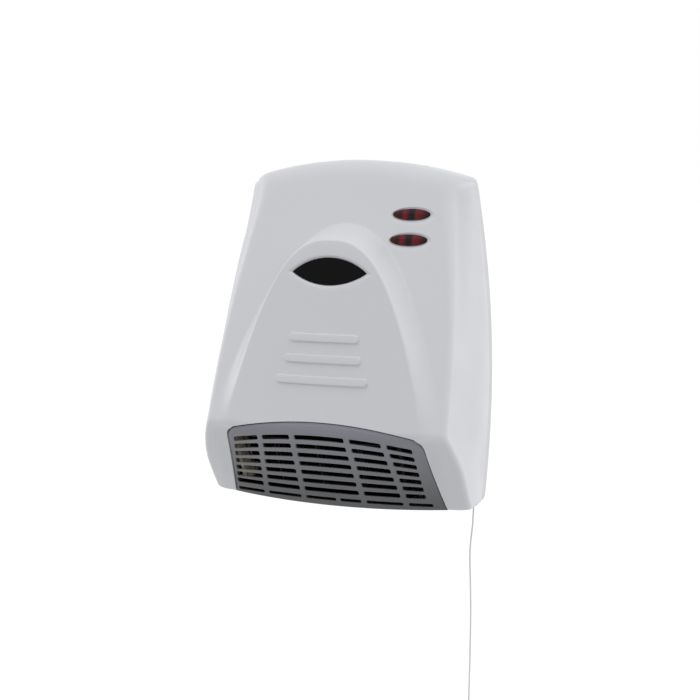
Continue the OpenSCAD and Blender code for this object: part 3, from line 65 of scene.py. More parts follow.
# %% [markdown]
# ## Units
#
# A designer thinks of this product in millimetres and Blender works in metres, so all sizes below are
# millimetres and one factor turns them into metres when a mesh is made. The wall is the plane y = 0 and
# the room is on the side of negative y. The word depth means the distance from the wall, so a point lies
# at y = -depth.

# %% Millimetres, and a few curves that many pieces share
MM = 0.001


def mix(a, b, t):
    """The value a share t of the way from a to b."""
    return a + (b - a) * t


def bezier(a, b, c, t):
    """A quadratic Bezier curve from a to c that heads for b on the way."""
    return (1 - t) ** 2 * a + 2 * t * (1 - t) * b + t ** 2 * c


def smooth_step(t):
    """0 before 0, 1 after 1, and 3t^2 - 2t^3 between, which starts and ends level."""
    t = np.clip(t, 0, 1)
    return t * t * (3 - 2 * t)


def smooth_min(a, b, ease):
    """The lower of a and b, with a parabola of width ease rounding the corner between them."""
    return np.minimum(a, b) - np.maximum(ease - np.abs(a - b), 0) ** 2 / (4 * ease)


# %% [markdown]
# ## The camera
#
# A photograph fixes where its camera stood: the outline of the body, the lean of its upright lines and the
# way the lower edge rises to the left agree with only one place and one lens. That place is 1.1 m from the
# wall, a little above the heater and 19 degrees to its right, with a long lens that keeps the sides almost
# parallel, and the camera is rolled by half a degree. An empty that the camera tracks would do as well, but
# a rotation worked out once is simpler.

# %% Camera
CAMERA_AT = (362.9, -1086.0, 125.7)
CAMERA_LOOKS_AT = (-15.3, 0, -21.8)
LENS_MM, ROLL_DEG = 65.1, 0.482

camera = bpy.data.objects.new("camera", bpy.data.cameras.new("camera"))
camera.data.lens = LENS_MM
camera.data.sensor_width = 36
camera.location = Vector(CAMERA_AT) * MM
aim = (Vector(CAMERA_LOOKS_AT) - Vector(CAMERA_AT)).to_track_quat("-Z", "Y")
camera.rotation_euler = (aim.to_matrix() @ Matrix.Rotation(math.radians(ROLL_DEG), 3, "Z")).to_euler()
bpy.context.scene.collection.objects.link(camera)
bpy.context.scene.camera = camera
print("camera", round(camera.location.length, 3), "m from the fixing point")

# %% [markdown]
# ## Meshes from arrays
#
# Most surfaces here are a grid of points worked out with numpy: one parameter runs across, the other down,
# and a formula gives the place. The functions below turn such arrays into a mesh. A grid can be closed
# round its columns, as a tube is, and can carry a UV map, which a braid or a winding needs.

# %% Grid meshes
def make_piece(name, points, faces, smooth_angle=35):
    """A mesh object from points in millimetres and faces; edges sharper than smooth_angle stay crisp."""
    mesh = bpy.data.meshes.new(name)
    mesh.from_pydata((np.asarray(points).reshape(-1, 3) * MM).tolist(), [], [list(f) for f in faces])
    piece = bpy.data.objects.new(name, mesh)
    bpy.context.scene.collection.objects.link(piece)
    shade(piece, smooth_angle)
    return piece


def shade(piece, smooth_angle):
    """Smooth shading, with edges sharper than smooth_angle (in degrees) kept crisp."""
    piece.data.shade_smooth()
    piece.data.set_sharp_from_angle(angle=math.radians(smooth_angle))


def grid_faces(rows, cols, closed=False):
    """Quads between neighbours of a rows x cols grid; closed joins the last column to the first."""
    r, c = np.meshgrid(np.arange(rows - 1), np.arange(cols if closed else cols - 1), indexing="ij")
    nxt = (c + 1) % cols
    quads = np.stack([r * cols + c, r * cols + nxt, (r + 1) * cols + nxt, (r + 1) * cols + c], -1)
    return quads.reshape(-1, 4)


def merged(piece, distance=0.002, outwards=True):
    """Joins points nearer than distance millimetres and turns all faces outwards."""
    work = bmesh.new()
    work.from_mesh(piece.data)
    bmesh.ops.remove_doubles(work, verts=work.verts, dist=distance * MM)
    bmesh.ops.dissolve_degenerate(work, edges=work.edges, dist=distance * MM)
    if outwards:
        bmesh.ops.recalc_face_normals(work, faces=work.faces)
    work.to_mesh(piece.data)
    work.free()
    return piece


def loft(name, rings, smooth_angle=35):
    """A closed solid through rings (n, points, 3) of equal size, with flat faces on the first and last."""
    rings = np.asarray(rings, float)
    n, cols = rings.shape[:2]
    faces = grid_faces(n, cols, closed=True).tolist()
    faces += [list(range(cols)), list(range((n - 1) * cols, n * cols))]
    piece = make_piece(name, rings, faces, smooth_angle)
    merged(piece)
    shade(piece, smooth_angle)
    return piece


def finished(piece):
    """Applies the modifiers of a piece and leaves it a plain mesh."""
    graph = bpy.context.evaluated_depsgraph_get()
    mesh = bpy.data.meshes.new_from_object(piece.evaluated_get(graph))
    piece.modifiers.clear()
    piece.data = mesh
    return piece


def carve(piece, tools, operation="DIFFERENCE"):
    """Adds closed solids to a piece (UNION) or cuts them out of it (DIFFERENCE), then removes them."""
    for tool in tools:
        step = piece.modifiers.new("carve", "BOOLEAN")
        step.operation, step.object, step.solver = operation, tool, "MANIFOLD"
        finished(piece)
        bpy.data.objects.remove(tool)
    return piece


# %% [markdown]
# ## The pull cord
#
# A thin braided cord leaves the foot of the heater at its right corner and works a pull switch. It is
# about 1.5 mm thick and limp, so it hangs almost straight, with the slight wave that a cord keeps from its
# packing. Its spare length is folded into a small hank with a tie, below the picture, and ends in a pull.
# The route is the one that the construction uses: points given one by one for the free stretch, then a
# formula for the loops, which wind in on one layer and out again on the next.

# %% Route of the cord
CORD_D = 1.5
CORD_POINTS = np.array([
    [105.6, -8, -113.2], [105.6, -8, -150], [105.5, -8, -158], [105.3, -8, -165], [105, -8, -172],
    [104.3, -8, -180], [103.6, -8, -188], [103.2, -8, -196], [103.2, -8, -204], [103.5, -8, -213],
    [104, -8, -224], [104.5, -8, -237], [104.9, -8, -252], [105.1, -8, -270], [105.1, -8, -290],
    [105, -8, -310], [104.9, -8, -328], [104.9, -8, -342]])
HANK_HALF, HANK_LOOPS, LOOP_STEP, FOLD_R = 12, 4, 2.35, 4.5
LAYER_STEP, WAIST, HANK_LEAD = 2, 0.86, 11
# the rings of a loop: those up to DOWN_END run down, then come the lower fold, the run up and the upper fold
RINGS_PER_LOOP, DOWN_END, FOLD_END, UP_END, LAYER_RINGS = 24, 4, 12, 16, 8
FOLD_TURN = 180 / (FOLD_END - DOWN_END)


def catmull_rom(points, per_span):
    """A smooth curve through points: each span is a cubic whose slope at a point is along its neighbours."""
    p = np.vstack([points[:1], points, points[-1:]])
    t = np.linspace(0, 1, per_span, endpoint=False)[:, None, None]
    a, b, c, d = p[:-3], p[1:-2], p[2:-1], p[3:]
    bend, twist = 2 * a - 5 * b + 4 * c - d, 3 * b - a - 3 * c + d
    spans = 0.5 * (2 * b + (c - a) * t + bend * t ** 2 + twist * t ** 3)
    return np.vstack([spans.transpose(1, 0, 2).reshape(-1, 3), points[-1:]])


def hank_route(top, per_ring=3):
    """Oval loops: two runs and two half circles each, whose radius shrinks and then grows steadily."""
    rings = HANK_LOOPS * RINGS_PER_LOOP
    last = rings + DOWN_END
    i = np.linspace(0, last, last * per_ring + 1)
    radius = FOLD_R + LOOP_STEP * np.abs(i - rings / 2) / RINGS_PER_LOOP
    outer = FOLD_R + LOOP_STEP * HANK_LOOPS / 2
    k = i % RINGS_PER_LOOP
    down, up = HANK_HALF * (1 - k / 2), HANK_HALF * ((k - FOLD_END) / 2 - 1)
    waist = lambda z: 1 - (1 - WAIST) * np.cos(np.pi / 2 * np.clip(np.abs(z) / HANK_HALF, 0, 1)) ** 2
    low, high = np.radians(FOLD_TURN * (k - DOWN_END)), np.radians(FOLD_TURN * (k - UP_END))
    part = [k < DOWN_END, k < FOLD_END, k < UP_END]
    x = np.select(part, [radius * waist(down), radius * np.cos(low), -radius * waist(up)],
                  -radius * np.cos(high))
    z = np.select(part, [down, -HANK_HALF - radius * np.sin(low), up], HANK_HALF + radius * np.sin(high))
    y = top[1] - LAYER_STEP * smooth_step((i - rings / 2) / LAYER_RINGS + 0.5)
    middle = (top[0] - outer, top[2] - HANK_LEAD - HANK_HALF)
    loops = np.stack([middle[0] + x, y, middle[1] + z], -1)
    lead = top + np.outer([0.25, 0.5], [0, 0, -HANK_LEAD])
    tail = loops[-1] + np.outer([0.25, 0.5, 0.75, 1], [0, 0, -HANK_LEAD])
    return np.vstack([lead, loops, tail])


free_route = catmull_rom(CORD_POINTS, 10)
hank = hank_route(CORD_POINTS[-1])
cord_route = np.vstack([free_route, hank])

# %% [markdown]
# A curve object with a round bevel would draw this cord too. A mesh tube is used because a braid needs to
# know where it is: round the cord and along it. Both go into the UV map, along in cord diameters.

# %% Tube along the route
def tube(name, path, radius, sides):
    """Rings of radius round each point of path, square to its direction; flat ends; UV is (round, along)."""
    ahead = np.gradient(path, axis=0)
    ahead /= np.linalg.norm(ahead, axis=1, keepdims=True)
    side = np.array([0.0, 1, 0]) - ahead * ahead[:, 1:2]
    side /= np.linalg.norm(side, axis=1, keepdims=True)
    other = np.cross(ahead, side)
    turn = 2 * np.pi * np.arange(sides) / sides
    rings = (path[:, None] + radius * (np.cos(turn)[None, :, None] * side[:, None]
                                       + np.sin(turn)[None, :, None] * other[:, None]))
    n = len(path)
    faces = grid_faces(n, sides, closed=True)[:, ::-1].tolist()
    faces += [list(range(sides)), list(range(n * sides - 1, (n - 1) * sides - 1, -1))]
    piece = make_piece(name, rings, faces, 60)
    along = np.concatenate([[0], np.cumsum(np.linalg.norm(np.diff(path, axis=0), axis=1))]) / (2 * radius)
    corners = np.concatenate(faces)
    turned = (corners % sides) / sides
    # the last quad of each ring ends where the first began, which is 1 there and not 0
    closing = np.arange(len(corners) - 2 * sides) // 4 % sides == sides - 1
    turned[:len(closing)][closing & (turned[:len(closing)] == 0)] = 1
    uv = piece.data.uv_layers.new(name="braid")
    uv.data.foreach_set("uv", np.stack([turned, along[corners // sides]], -1).astype(np.float32).ravel())
    return piece


pull_cord = tube("braided_cord", cord_route, CORD_D / 2, 12)
print("cord mesh", len(pull_cord.data.polygons), "faces")

# %% [markdown]
# ## The pull and the tie
#
# The pull at the end is a small turned drop of white plastic: a profile carried round an axis. The tie is
# a short band round the waist of the hank, already modelled in the frame.

# %% Pull on the end of the cord
def revolve(name, profile, centre, turns=48, smooth_angle=40):
    """A profile of (radius, height) points carried round the vertical axis through centre."""
    turn = 2 * np.pi * np.arange(turns) / turns
    r, h = np.asarray(profile, float).T
    rings = np.stack([centre[0] + np.outer(r, np.cos(turn)), centre[1] + np.outer(r, np.sin(turn)),
                      centre[2] + np.repeat(h[:, None], turns, 1)], -1)
    return loft(name, rings, smooth_angle)


BOB_L, BOB_R = 22, 4.6
bob_low, bob_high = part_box("cord_bob")
height = np.linspace(0, 1, 40)
bob_radius = np.interp(height, [0, 0.02, 0.07, 0.36, 0.73, 0.95, 1],
                       [BOB_R - 1.4, BOB_R - 0.7, BOB_R, BOB_R, BOB_R - 1.4, 2.2, 1.6])
bob_radius = np.convolve(np.pad(bob_radius, 2, mode="edge"), np.ones(5) / 5, "valid")
cord_pull = revolve("cord_pull_drop", np.stack([bob_radius, height * BOB_L], -1),
                    [(bob_low.x + bob_high.x) / 2 / MM, (bob_low.y + bob_high.y) / 2 / MM, bob_low.z / MM])
print("pull", BOB_L, "mm long, bottom at", round(bob_low.z / MM), "mm")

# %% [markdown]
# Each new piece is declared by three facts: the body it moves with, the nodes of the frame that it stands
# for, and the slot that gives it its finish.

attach(pull_cord, "pull")
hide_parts("pull_cord", "cord_hank")
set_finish(pull_cord, "cord_white")
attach(cord_pull, "pull")
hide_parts("cord_bob")
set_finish(cord_pull, "bob_white")

# %% [markdown]
# ## The shape of the cover
#
# The cover is one thin moulding. Its back edge is an arch on top, two sides that draw in towards the top
# and a lower edge that bows. From there it bulges into the room: a sloping face, on it a hood whose upper
# edge is a steep arched ramp, a rounded knee, and below the knee a chin that faces down. A sculpted box
# with subdivision could come near it, but every one of these lines is a simple curve in the real tool, so
# the surface is written as a formula for the depth over the wall at any place (x, z).

# %% Outline of the back
rear_low, rear_high = (np.array(c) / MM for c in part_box("rear_housing"))
HALF_W, HALF_H = (rear_high[0] - rear_low[0]) / 2, 150
BODY_D, SEAM_D, WALL = 124.5, 12, 2.4
TOP_ARCH, FOOT_BOW, WIDEST_H = 21.4, 0.5, 100
TOP_NARROWING, FOOT_NARROWING = 20.8, 4.5
TOP_CORNER_R, FOOT_CORNER_R = 4, 1.8
FRONT_LIFT, FRONT_BOW = 1.7, 4
FOOT = -HALF_H
WIDEST_Z = FOOT + WIDEST_H


def top_z(x):
    """The arch of the top edge: a parabola."""
    return HALF_H - TOP_ARCH * (x / HALF_W) ** 2


def foot_z(x):
    """The lower edge at the wall: a very flat parabola."""
    return FOOT + FOOT_BOW * (x / HALF_W) ** 2


def front_foot_z(x):
    """The lower edge at the front, which lies a little higher and bows more."""
    return FOOT + FRONT_LIFT + FRONT_BOW * (x / HALF_W) ** 2


def rear_half(z):
    """Half the width at a height: one parabola above the widest place and a flatter one below."""
    return HALF_W - np.where(z > WIDEST_Z, TOP_NARROWING * ((z - WIDEST_Z) / (HALF_H - WIDEST_Z)) ** 2,
                             FOOT_NARROWING * ((WIDEST_Z - z) / (WIDEST_Z - FOOT)) ** 2)


top_corner_x, foot_corner_x = HALF_W, HALF_W
for _ in range(8):  # arch and side meet where going from one to the other changes nothing
    top_corner_x = float(rear_half(top_z(top_corner_x)))
    foot_corner_x = float(rear_half(foot_z(foot_corner_x)))
print("corners at x", round(top_corner_x, 1), "and", round(foot_corner_x, 1))

# %% [markdown]
# The front is three surfaces over that outline: a sloping face, a hood that rises out of it behind an
# arched ramp, and a chin below the knee. The depth at a place is the face, plus what the hood adds there,
# cut by the chin; smooth_min rounds the two creases.

# %% Depth of the front at any place
FACE_TOP_D, FACE_SET_BACK, FACE_R = 33.5, 4.1, 900
TOP_RIM_D, BROW_DROP, EDGE_R, TOP_EDGE_R = 24, 18, 5.5, 11
LEAN_TOP, LEAN_KNEE, LEAN_RUN, FOOT_FLARE = 18.2, 10.4, 40, 5
HOOD_R, KNEE_H, CHIN_ANGLE, CREST_H, CREST_D = 450, 73.4, 32.4, 231.5, 96.3
RAMP_H, CREST_SPREAD, RAMP_SPREAD, CREST_POWER, RAMP_POWER = 14, 12.2, 9.55, 2.584, 2.128
KNEE_EASE = 5
MARGIN_BULGE, MARGIN_FROM, MARGIN_FOOT, MARGIN_EASE = 5, 88, 100, 12
KNEE_Z, CREST_Z = FOOT + KNEE_H, FOOT + CREST_H
KNEE_D = BODY_D + 0.18 * KNEE_EASE  # makes up for what the rounding takes off the knee
FACE_SLOPE = (BODY_D - FACE_SET_BACK - FACE_TOP_D) / (HALF_H - KNEE_Z)
HOOD_SLOPE = (KNEE_D - CREST_D) / (CREST_Z - KNEE_Z)
CHIN_SLOPE = math.tan(math.radians(CHIN_ANGLE))
HOOD_AXIS = HOOD_R - BODY_D


def face_d(x, z):
    """The sloping face: a plane that falls back towards the top, curved a little across its width."""
    return BODY_D - FACE_SET_BACK - FACE_SLOPE * (z - KNEE_Z) - x ** 2 / (2 * FACE_R)


def hood_mid(z):
    """The hood on its middle line."""
    return KNEE_D - HOOD_SLOPE * (z - KNEE_Z)


def chin_mid(z):
    """The chin on its middle line."""
    return KNEE_D + CHIN_SLOPE * (z - KNEE_Z)


def nose_mid(z):
    """Hood and chin together, rounded where they meet in the knee."""
    return smooth_min(hood_mid(z), chin_mid(z), KNEE_EASE)


def around(depth, x):
    """Carries a middle depth across the width on an arc round an upright axis behind the body."""
    return np.sqrt((depth + HOOD_AXIS) ** 2 - x ** 2) - HOOD_AXIS


def ramp_z(x):
    """The foot of the ramp, where the hood begins to rise out of the face."""
    return CREST_Z + RAMP_H - (np.abs(x) / RAMP_SPREAD) ** RAMP_POWER


def crest_z(x):
    """The crest of the ramp, where the hood is at its full depth."""
    return CREST_Z - (np.abs(x) / CREST_SPREAD) ** CREST_POWER


def margin_d(x, z):
    """How far the chin bulges beside the outlet: a sine over its height, eased in across its width."""
    t = np.clip((KNEE_Z - z) / (KNEE_Z - FOOT), 0, 1)
    beside = smooth_step((np.abs(x) - mix(MARGIN_FROM, MARGIN_FOOT, t * t)) / MARGIN_EASE)
    return MARGIN_BULGE * np.sin(np.pi * t) * beside


def front_d(x, z):
    """The face, plus the hood where the ramp has risen, cut by the chin below the knee."""
    rise = smooth_step((ramp_z(x) - z) / (ramp_z(x) - crest_z(x)))
    bulge = np.maximum(around(nose_mid(z), x) - face_d(x, z), 0) * rise
    return smooth_min(face_d(x, z) + bulge, around(chin_mid(z), x) + margin_d(x, z), KNEE_EASE)


print("depth at the knee", round(float(front_d(0.0, KNEE_Z)), 1), "and at the crest",
      round(float(front_d(0.0, CREST_Z)), 1))

# %% [markdown]
# ## A grid that follows the form
#
# A height map alone would stretch badly over the sides, which run almost straight back to the wall. So
# the grid has rows that run from the seam over the top edge, down the face, over the knee and back under
# the foot to the seam. Each row ends in a rounded edge and a side that curves back to the seam. Rows are
# packed closely where the form turns sharply, at the ramp, the knee and the foot.

# %% Rows of the cover
KNEE_REACH, FOOT_ROUND = 7, 5
RAMP_BELOW_BROW, CREST_BELOW_RAMP, RAMP_OVER_KNEE, CREST_OVER_KNEE = 14, 4, 10, 5
FIRST_ROW_SHORT, LAST_ROW_SHORT, ROW_ENDS_APART = 8, 3, 3
BROW_ROW, RAMP_ROW, CREST_ROW, OVER_KNEE_ROW, UNDER_KNEE_ROW, CHIN_ROW, SEAM_ROW = 5, 11, 16, 24, 28, 32, 37


def row_at(j, x):
    """Depth and height of row j at x: over the brow, down the front by even steps, and back underneath."""
    brow, chin_end = top_z(x) - BROW_DROP, front_foot_z(x) + FOOT_ROUND
    over_knee = KNEE_Z + KNEE_REACH
    ramp = np.maximum(np.minimum(ramp_z(x), brow - RAMP_BELOW_BROW), over_knee + RAMP_OVER_KNEE)
    crest = np.maximum(np.minimum(crest_z(x), ramp - CREST_BELOW_RAMP), over_knee + CREST_OVER_KNEE)
    share = lambda first, last: (np.clip(j, BROW_ROW, CHIN_ROW) - first) / (last - first)
    z = np.select([j < RAMP_ROW, j < CREST_ROW, j < OVER_KNEE_ROW, j < UNDER_KNEE_ROW],
                  [mix(brow, ramp, share(BROW_ROW, RAMP_ROW)), mix(ramp, crest, share(RAMP_ROW, CREST_ROW)),
                   mix(crest, over_knee, share(CREST_ROW, OVER_KNEE_ROW)),
                   KNEE_Z + KNEE_REACH * (1 - 2 * share(OVER_KNEE_ROW, UNDER_KNEE_ROW))],
                  mix(KNEE_Z - KNEE_REACH, chin_end, share(UNDER_KNEE_ROW, CHIN_ROW)))
    d = front_d(x, z)
    # over the brow: a straight rim from the seam, then a Bezier that leaves the face along its slope
    t = np.clip((j - 1) / 4, 0, 1)
    over_d = np.where(j < 1, mix(SEAM_D, TOP_RIM_D, j), bezier(TOP_RIM_D, d - FACE_SLOPE * BROW_DROP, d, t))
    over_z = bezier(top_z(x), top_z(x), brow, t)
    # under the foot: a Bezier, then straight back to the seam
    s, back = np.clip((j - CHIN_ROW) / 3, 0, 1), np.clip((j - CHIN_ROW - 3) / 2, 0, 1)
    low = d - CHIN_SLOPE * FOOT_ROUND
    under_d = mix(bezier(d, low, low - FOOT_ROUND, s), SEAM_D, back)
    under_z = mix(bezier(chin_end, front_foot_z(x), front_foot_z(x), s), foot_z(x), back)
    parts = [j < BROW_ROW, j > CHIN_ROW]
    return np.select(parts, [over_d, under_d], d), np.select(parts, [over_z, under_z], z)


def lean(z):
    """How far the side leans in at the front: the same up to the knee, then more with the height."""
    return mix(LEAN_KNEE, LEAN_TOP, np.maximum(z - KNEE_Z, 0) / (HALF_H - KNEE_Z))


def side_half(z, d):
    """Half the width at a height and a depth: a parabola that leaves the seam upright, with a flared foot."""
    edge = face_d(rear_half(z) - lean(z), z)
    run = np.minimum(LEAN_RUN, edge - SEAM_D)
    below = np.clip((KNEE_Z - z) / (KNEE_Z - FOOT), 0, 1)
    flare = FOOT_FLARE * below ** 2 * smooth_step((d - SEAM_D) / LEAN_RUN)
    return rear_half(z) - lean(z) * np.maximum(0, 1 - np.maximum(edge - d, 0) / run) ** 2 + flare


def settled(j, x):
    """The half width at which row j meets the side, found by going back and forth."""
    for _ in range(8):
        d, z = row_at(j, x)
        x = side_half(z, d)
    return x


def row_half(j):
    """Half the width of row j at its rounded edge; the first and last rows run into the corners."""
    brow, foot = (settled(np.array([row]), np.array([x])) for row, x in ((BROW_ROW, 85.0), (CHIN_ROW, 100.0)))
    top_share = np.interp(j, range(BROW_ROW + 1), [0, 0.3, 0.55, 0.75, 0.9, 1])
    foot_share = np.interp(j, range(CHIN_ROW, SEAM_ROW + 1), [0, 0.08, 0.2, 0.35, 0.65, 1])
    return np.select([j < BROW_ROW, j > CHIN_ROW],
                     [mix(top_corner_x - TOP_CORNER_R - FIRST_ROW_SHORT, brow, top_share),
                      mix(foot, foot_corner_x - FOOT_CORNER_R - LAST_ROW_SHORT, foot_share)],
                     settled(j, np.full(len(j), HALF_W - LEAN_KNEE)))


def row_end(j, z):
    """Where row j meets the seam: round the top corner, down the side, round the foot corner."""
    zt, zf = top_z(top_corner_x) - TOP_CORNER_R, foot_z(foot_corner_x) + FOOT_CORNER_R
    a, b = top_corner_x - TOP_CORNER_R, foot_corner_x - FOOT_CORNER_R
    t, s = np.clip(j / BROW_ROW, 0, 1), np.clip((j - CHIN_ROW) / (SEAM_ROW - CHIN_ROW), 0, 1)
    side_z = np.minimum(zt - ROW_ENDS_APART * (j - BROW_ROW),
                        np.maximum(zf + ROW_ENDS_APART * (CHIN_ROW - j), z))
    parts = [j <= BROW_ROW, j >= CHIN_ROW]
    x = np.select(parts, [bezier(a, top_corner_x, rear_half(zt), t),
                          bezier(rear_half(zf), foot_corner_x, b, s)], rear_half(side_z))
    z = np.select(parts, [bezier(top_z(a), top_z(top_corner_x), zt, t),
                          bezier(zf, foot_z(foot_corner_x), foot_z(b), s)], side_z)
    return x, z


# %% [markdown]
# The rows are then joined with their sides. The face part of a row has its points evenly spaced, the
# rounded edge is a Bezier between face and side, and the side bows out a little on its way to the seam.

# %% Outer skin of the cover
FACE_COLS, EDGE_COLS, SIDE_COLS, EDGE_SHARE = 128, 12, 10, 0.4


def outer_skin(j):
    """An array (rows, columns, 3): left side, face and right side of each row j."""
    xs = row_half(j)
    d, z = row_at(j, xs)
    ex, ez = row_end(j, z)
    edge = np.stack([xs, -d, z], -1)
    end = np.stack([ex, np.full_like(ex, -SEAM_D), ez], -1)
    length = np.linalg.norm(end - edge, axis=1)
    r = np.minimum(np.interp(z, [KNEE_Z, HALF_H], [EDGE_R, TOP_EDGE_R]), EDGE_SHARE * length)
    xf = xs - r
    fd, fz = row_at(j, xf)
    start = np.stack([xf, -fd, fz], -1)
    to = edge + (end - edge) * (r / length)[:, None]
    excess = side_half(z, (d + SEAM_D) / 2) - (side_half(z, d) + side_half(z, SEAM_D)) / 2
    bow = np.clip(excess, 0, LEAN_KNEE) * np.clip(j - BROW_ROW + 1, 0, 1)
    t = np.linspace(0, 1, EDGE_COLS + 1)[1:, None, None]
    rounded = bezier(start, edge, to, t)
    s = np.linspace(0, 1, SIDE_COLS + 1)[1:, None, None]
    side = mix(to, end, s) + 4 * s * (1 - s) * bow[:, None] * np.array([1.0, 0, 0])
    right = np.concatenate([rounded, side]).transpose(1, 0, 2)
    x = xf[:, None] * np.linspace(-1, 1, FACE_COLS + 1)
    d2, z2 = row_at(np.repeat(j[:, None], FACE_COLS + 1, 1), x)
    face = np.stack([x, -d2, z2], -1)
    return np.concatenate([right[:, ::-1] * [-1, 1, 1], face, right], axis=1)


ROW_STEPS = ((0, 3), (1, 20), (BROW_ROW, 30), (RAMP_ROW, 35), (CREST_ROW, 32), (OVER_KNEE_ROW, 24),
             (UNDER_KNEE_ROW, 12), (CHIN_ROW, 15), (CHIN_ROW + 3, 6), (SEAM_ROW, 1))
spans = zip(ROW_STEPS, ROW_STEPS[1:])
skin_rows = np.concatenate([np.linspace(a, b, n, endpoint=False) for (a, n), (b, _) in spans] + [[SEAM_ROW]])
skin = outer_skin(skin_rows)
print("outer skin", skin.shape[:2], "points")

# %% [markdown]
# The moulding is the space between this skin and a second one a wall inside it. The inner points lie along
# the normals of the outer grid; on the seam they move in its own plane, so the edge that meets the rear
# housing stays flat.

# %% Wall of the cover
def normals_of(grid):
    """Unit normals of a grid of points, from the cross product of its two directions."""
    down, across = np.gradient(grid, axis=0), np.gradient(grid, axis=1)
    n = np.cross(down, across)
    return n / np.linalg.norm(n, axis=-1, keepdims=True)


def border(rows, cols):
    """The numbers of the points round a grid, in order."""
    at = np.arange(rows * cols).reshape(rows, cols)
    return np.concatenate([at[0, :-1], at[:-1, -1], at[-1, :0:-1], at[:0:-1, 0]])


def solid_sheet(name, front, back, smooth_angle=35):
    """A closed solid between two grids of equal size, joined round their borders."""
    rows, cols = front.shape[:2]
    faces = grid_faces(rows, cols)
    a, n = border(rows, cols), rows * cols
    b = np.roll(a, -1)
    sides = np.stack([a, b, b + n, a + n], -1)
    piece = make_piece(name, np.concatenate([front.reshape(-1, 3), back.reshape(-1, 3)]),
                       np.concatenate([faces[:, ::-1], faces + n, sides]).tolist(), smooth_angle)
    return merged(piece)


inner = skin - WALL * normals_of(skin)
rim_points = border(*skin.shape[:2])
seam = skin.reshape(-1, 3)[rim_points]
along = np.roll(seam, -1, 0) - np.roll(seam, 1, 0)
inward = np.stack([along[:, 2], np.zeros(len(along)), -along[:, 0]], -1)
inward /= np.linalg.norm(inward, axis=1, keepdims=True)
inward *= np.sign(-(inward * seam).sum(1).mean())
inner.reshape(-1, 3)[rim_points] = seam + WALL * inward
cover = solid_sheet("moulded_cover", skin, inner)
print("cover", len(cover.data.vertices), "points, box", [round(c / MM, 1) for c in cover.dimensions])

# %% [markdown]
# ## The rear housing
#
# The housing is the tray on the wall that carries everything; only its edge shows, as a narrow band behind
# the cover. The frame's tray has all its bosses and holes, so a copy of it is merged and kept. Its rim must
# meet the cover's edge exactly, and the photograph asks for squarer corners, so points near the rim slide
# outwards or inwards, along the line from the middle, until the rim is the cover's own outline. Its long
# straight sides have points only at their ends, so the copy is first cut into strips that can follow the
# curve. The bush through which the cord leaves is drawn down with the foot.

# %% Tray that meets the cover
def smooth_copy(node, name, smooth_angle=35):
    """A merged copy of a node of the frame, with soft edges shaded smoothly."""
    piece = bpy.data.objects.new(name, nodes[node].data.copy())
    bpy.context.scene.collection.objects.link(piece)
    merged(piece, outwards=False)
    shade(piece, smooth_angle)
    return piece


def point_array(piece):
    """The points of a mesh in millimetres, one row each."""
    flat = np.empty(len(piece.data.vertices) * 3)
    piece.data.vertices.foreach_get("co", flat)
    return flat.reshape(-1, 3) / MM


def put_points(piece, points):
    """Moves the points of a mesh to new places, in millimetres."""
    piece.data.vertices.foreach_set("co", (points * MM).ravel())
    piece.data.update()


def reach(x, z, angle):
    """How far the closed outline through the points (x, z) lies from the middle in the directions angle."""
    order = np.argsort(np.arctan2(z, x))
    return np.interp(angle, np.arctan2(z, x)[order], np.hypot(x, z)[order], period=2 * np.pi)


def sliced(piece, axis, levels):
    """Cuts the faces of a piece at levels (mm) along an axis (0 is x, 2 is z), for a warp to bend them."""
    normal = Vector([float(i == axis) for i in range(3)])
    work = bmesh.new()
    work.from_mesh(piece.data)
    for level in levels:
        everything = work.verts[:] + work.edges[:] + work.faces[:]
        bmesh.ops.bisect_plane(work, geom=everything, dist=0.002 * MM,
                               plane_co=normal * level * MM, plane_no=normal)
    work.to_mesh(piece.data)
    work.free()


def side_points(x, z, count=60):
    """Points along the straight sides of the closed outline through (x, z), in order round the middle."""
    order = np.argsort(np.arctan2(z, x))
    order = np.append(order, order[0])
    steps = np.linspace(0, len(order) - 1, count * len(order))
    return [np.interp(steps, np.arange(len(order)), c[order]) for c in (x, z)]


NEAR_RIM, RIM_BAND, SLICE, ON_WALL = 6, 22, 8, 0.01
tray = smooth_copy("rear_housing", "wall_tray")
points = point_array(tray)
on_wall = points[np.abs(points[:, 1]) < ON_WALL]
wx, wz = on_wall[:, 0], on_wall[:, 2]
rim = on_wall[(np.abs(wx) > rear_half(wz) - NEAR_RIM)
              | (wz > top_z(wx) - NEAR_RIM) | (wz < foot_z(wx) + NEAR_RIM)]
for axis, half in ((0, HALF_W), (2, HALF_H)):
    count = int(half // SLICE)
    sliced(tray, axis, np.arange(-count, count + 1) * SLICE)
points = point_array(tray)
angle, distance = np.arctan2(points[:, 2], points[:, 0]), np.hypot(points[:, 0], points[:, 2])
old, new = reach(*side_points(rim[:, 0], rim[:, 2]), angle), reach(seam[:, 0], seam[:, 2], angle)
moved = distance + (new - old) * smooth_step((distance - old + RIM_BAND) / (RIM_BAND - WALL))
points[:, [0, 2]] *= (moved / np.maximum(distance, 1))[:, None]
put_points(tray, points)
shade(tray, 20)
BUSH_DROP, BUSH_NECK_Z, BUSH_NECK_L = 2.8, -139, 4
bush = smooth_copy("cord_bush", "cord_outlet_bush")
bush_points = point_array(bush)
bush_points[:, 2] -= BUSH_DROP * smooth_step((BUSH_NECK_Z - bush_points[:, 2]) / BUSH_NECK_L)
put_points(bush, bush_points)
print("tray", len(points), "points, rim moved by", round(float((new - old).min()), 1), "to",
      round(float((new - old).max()), 1), "mm")

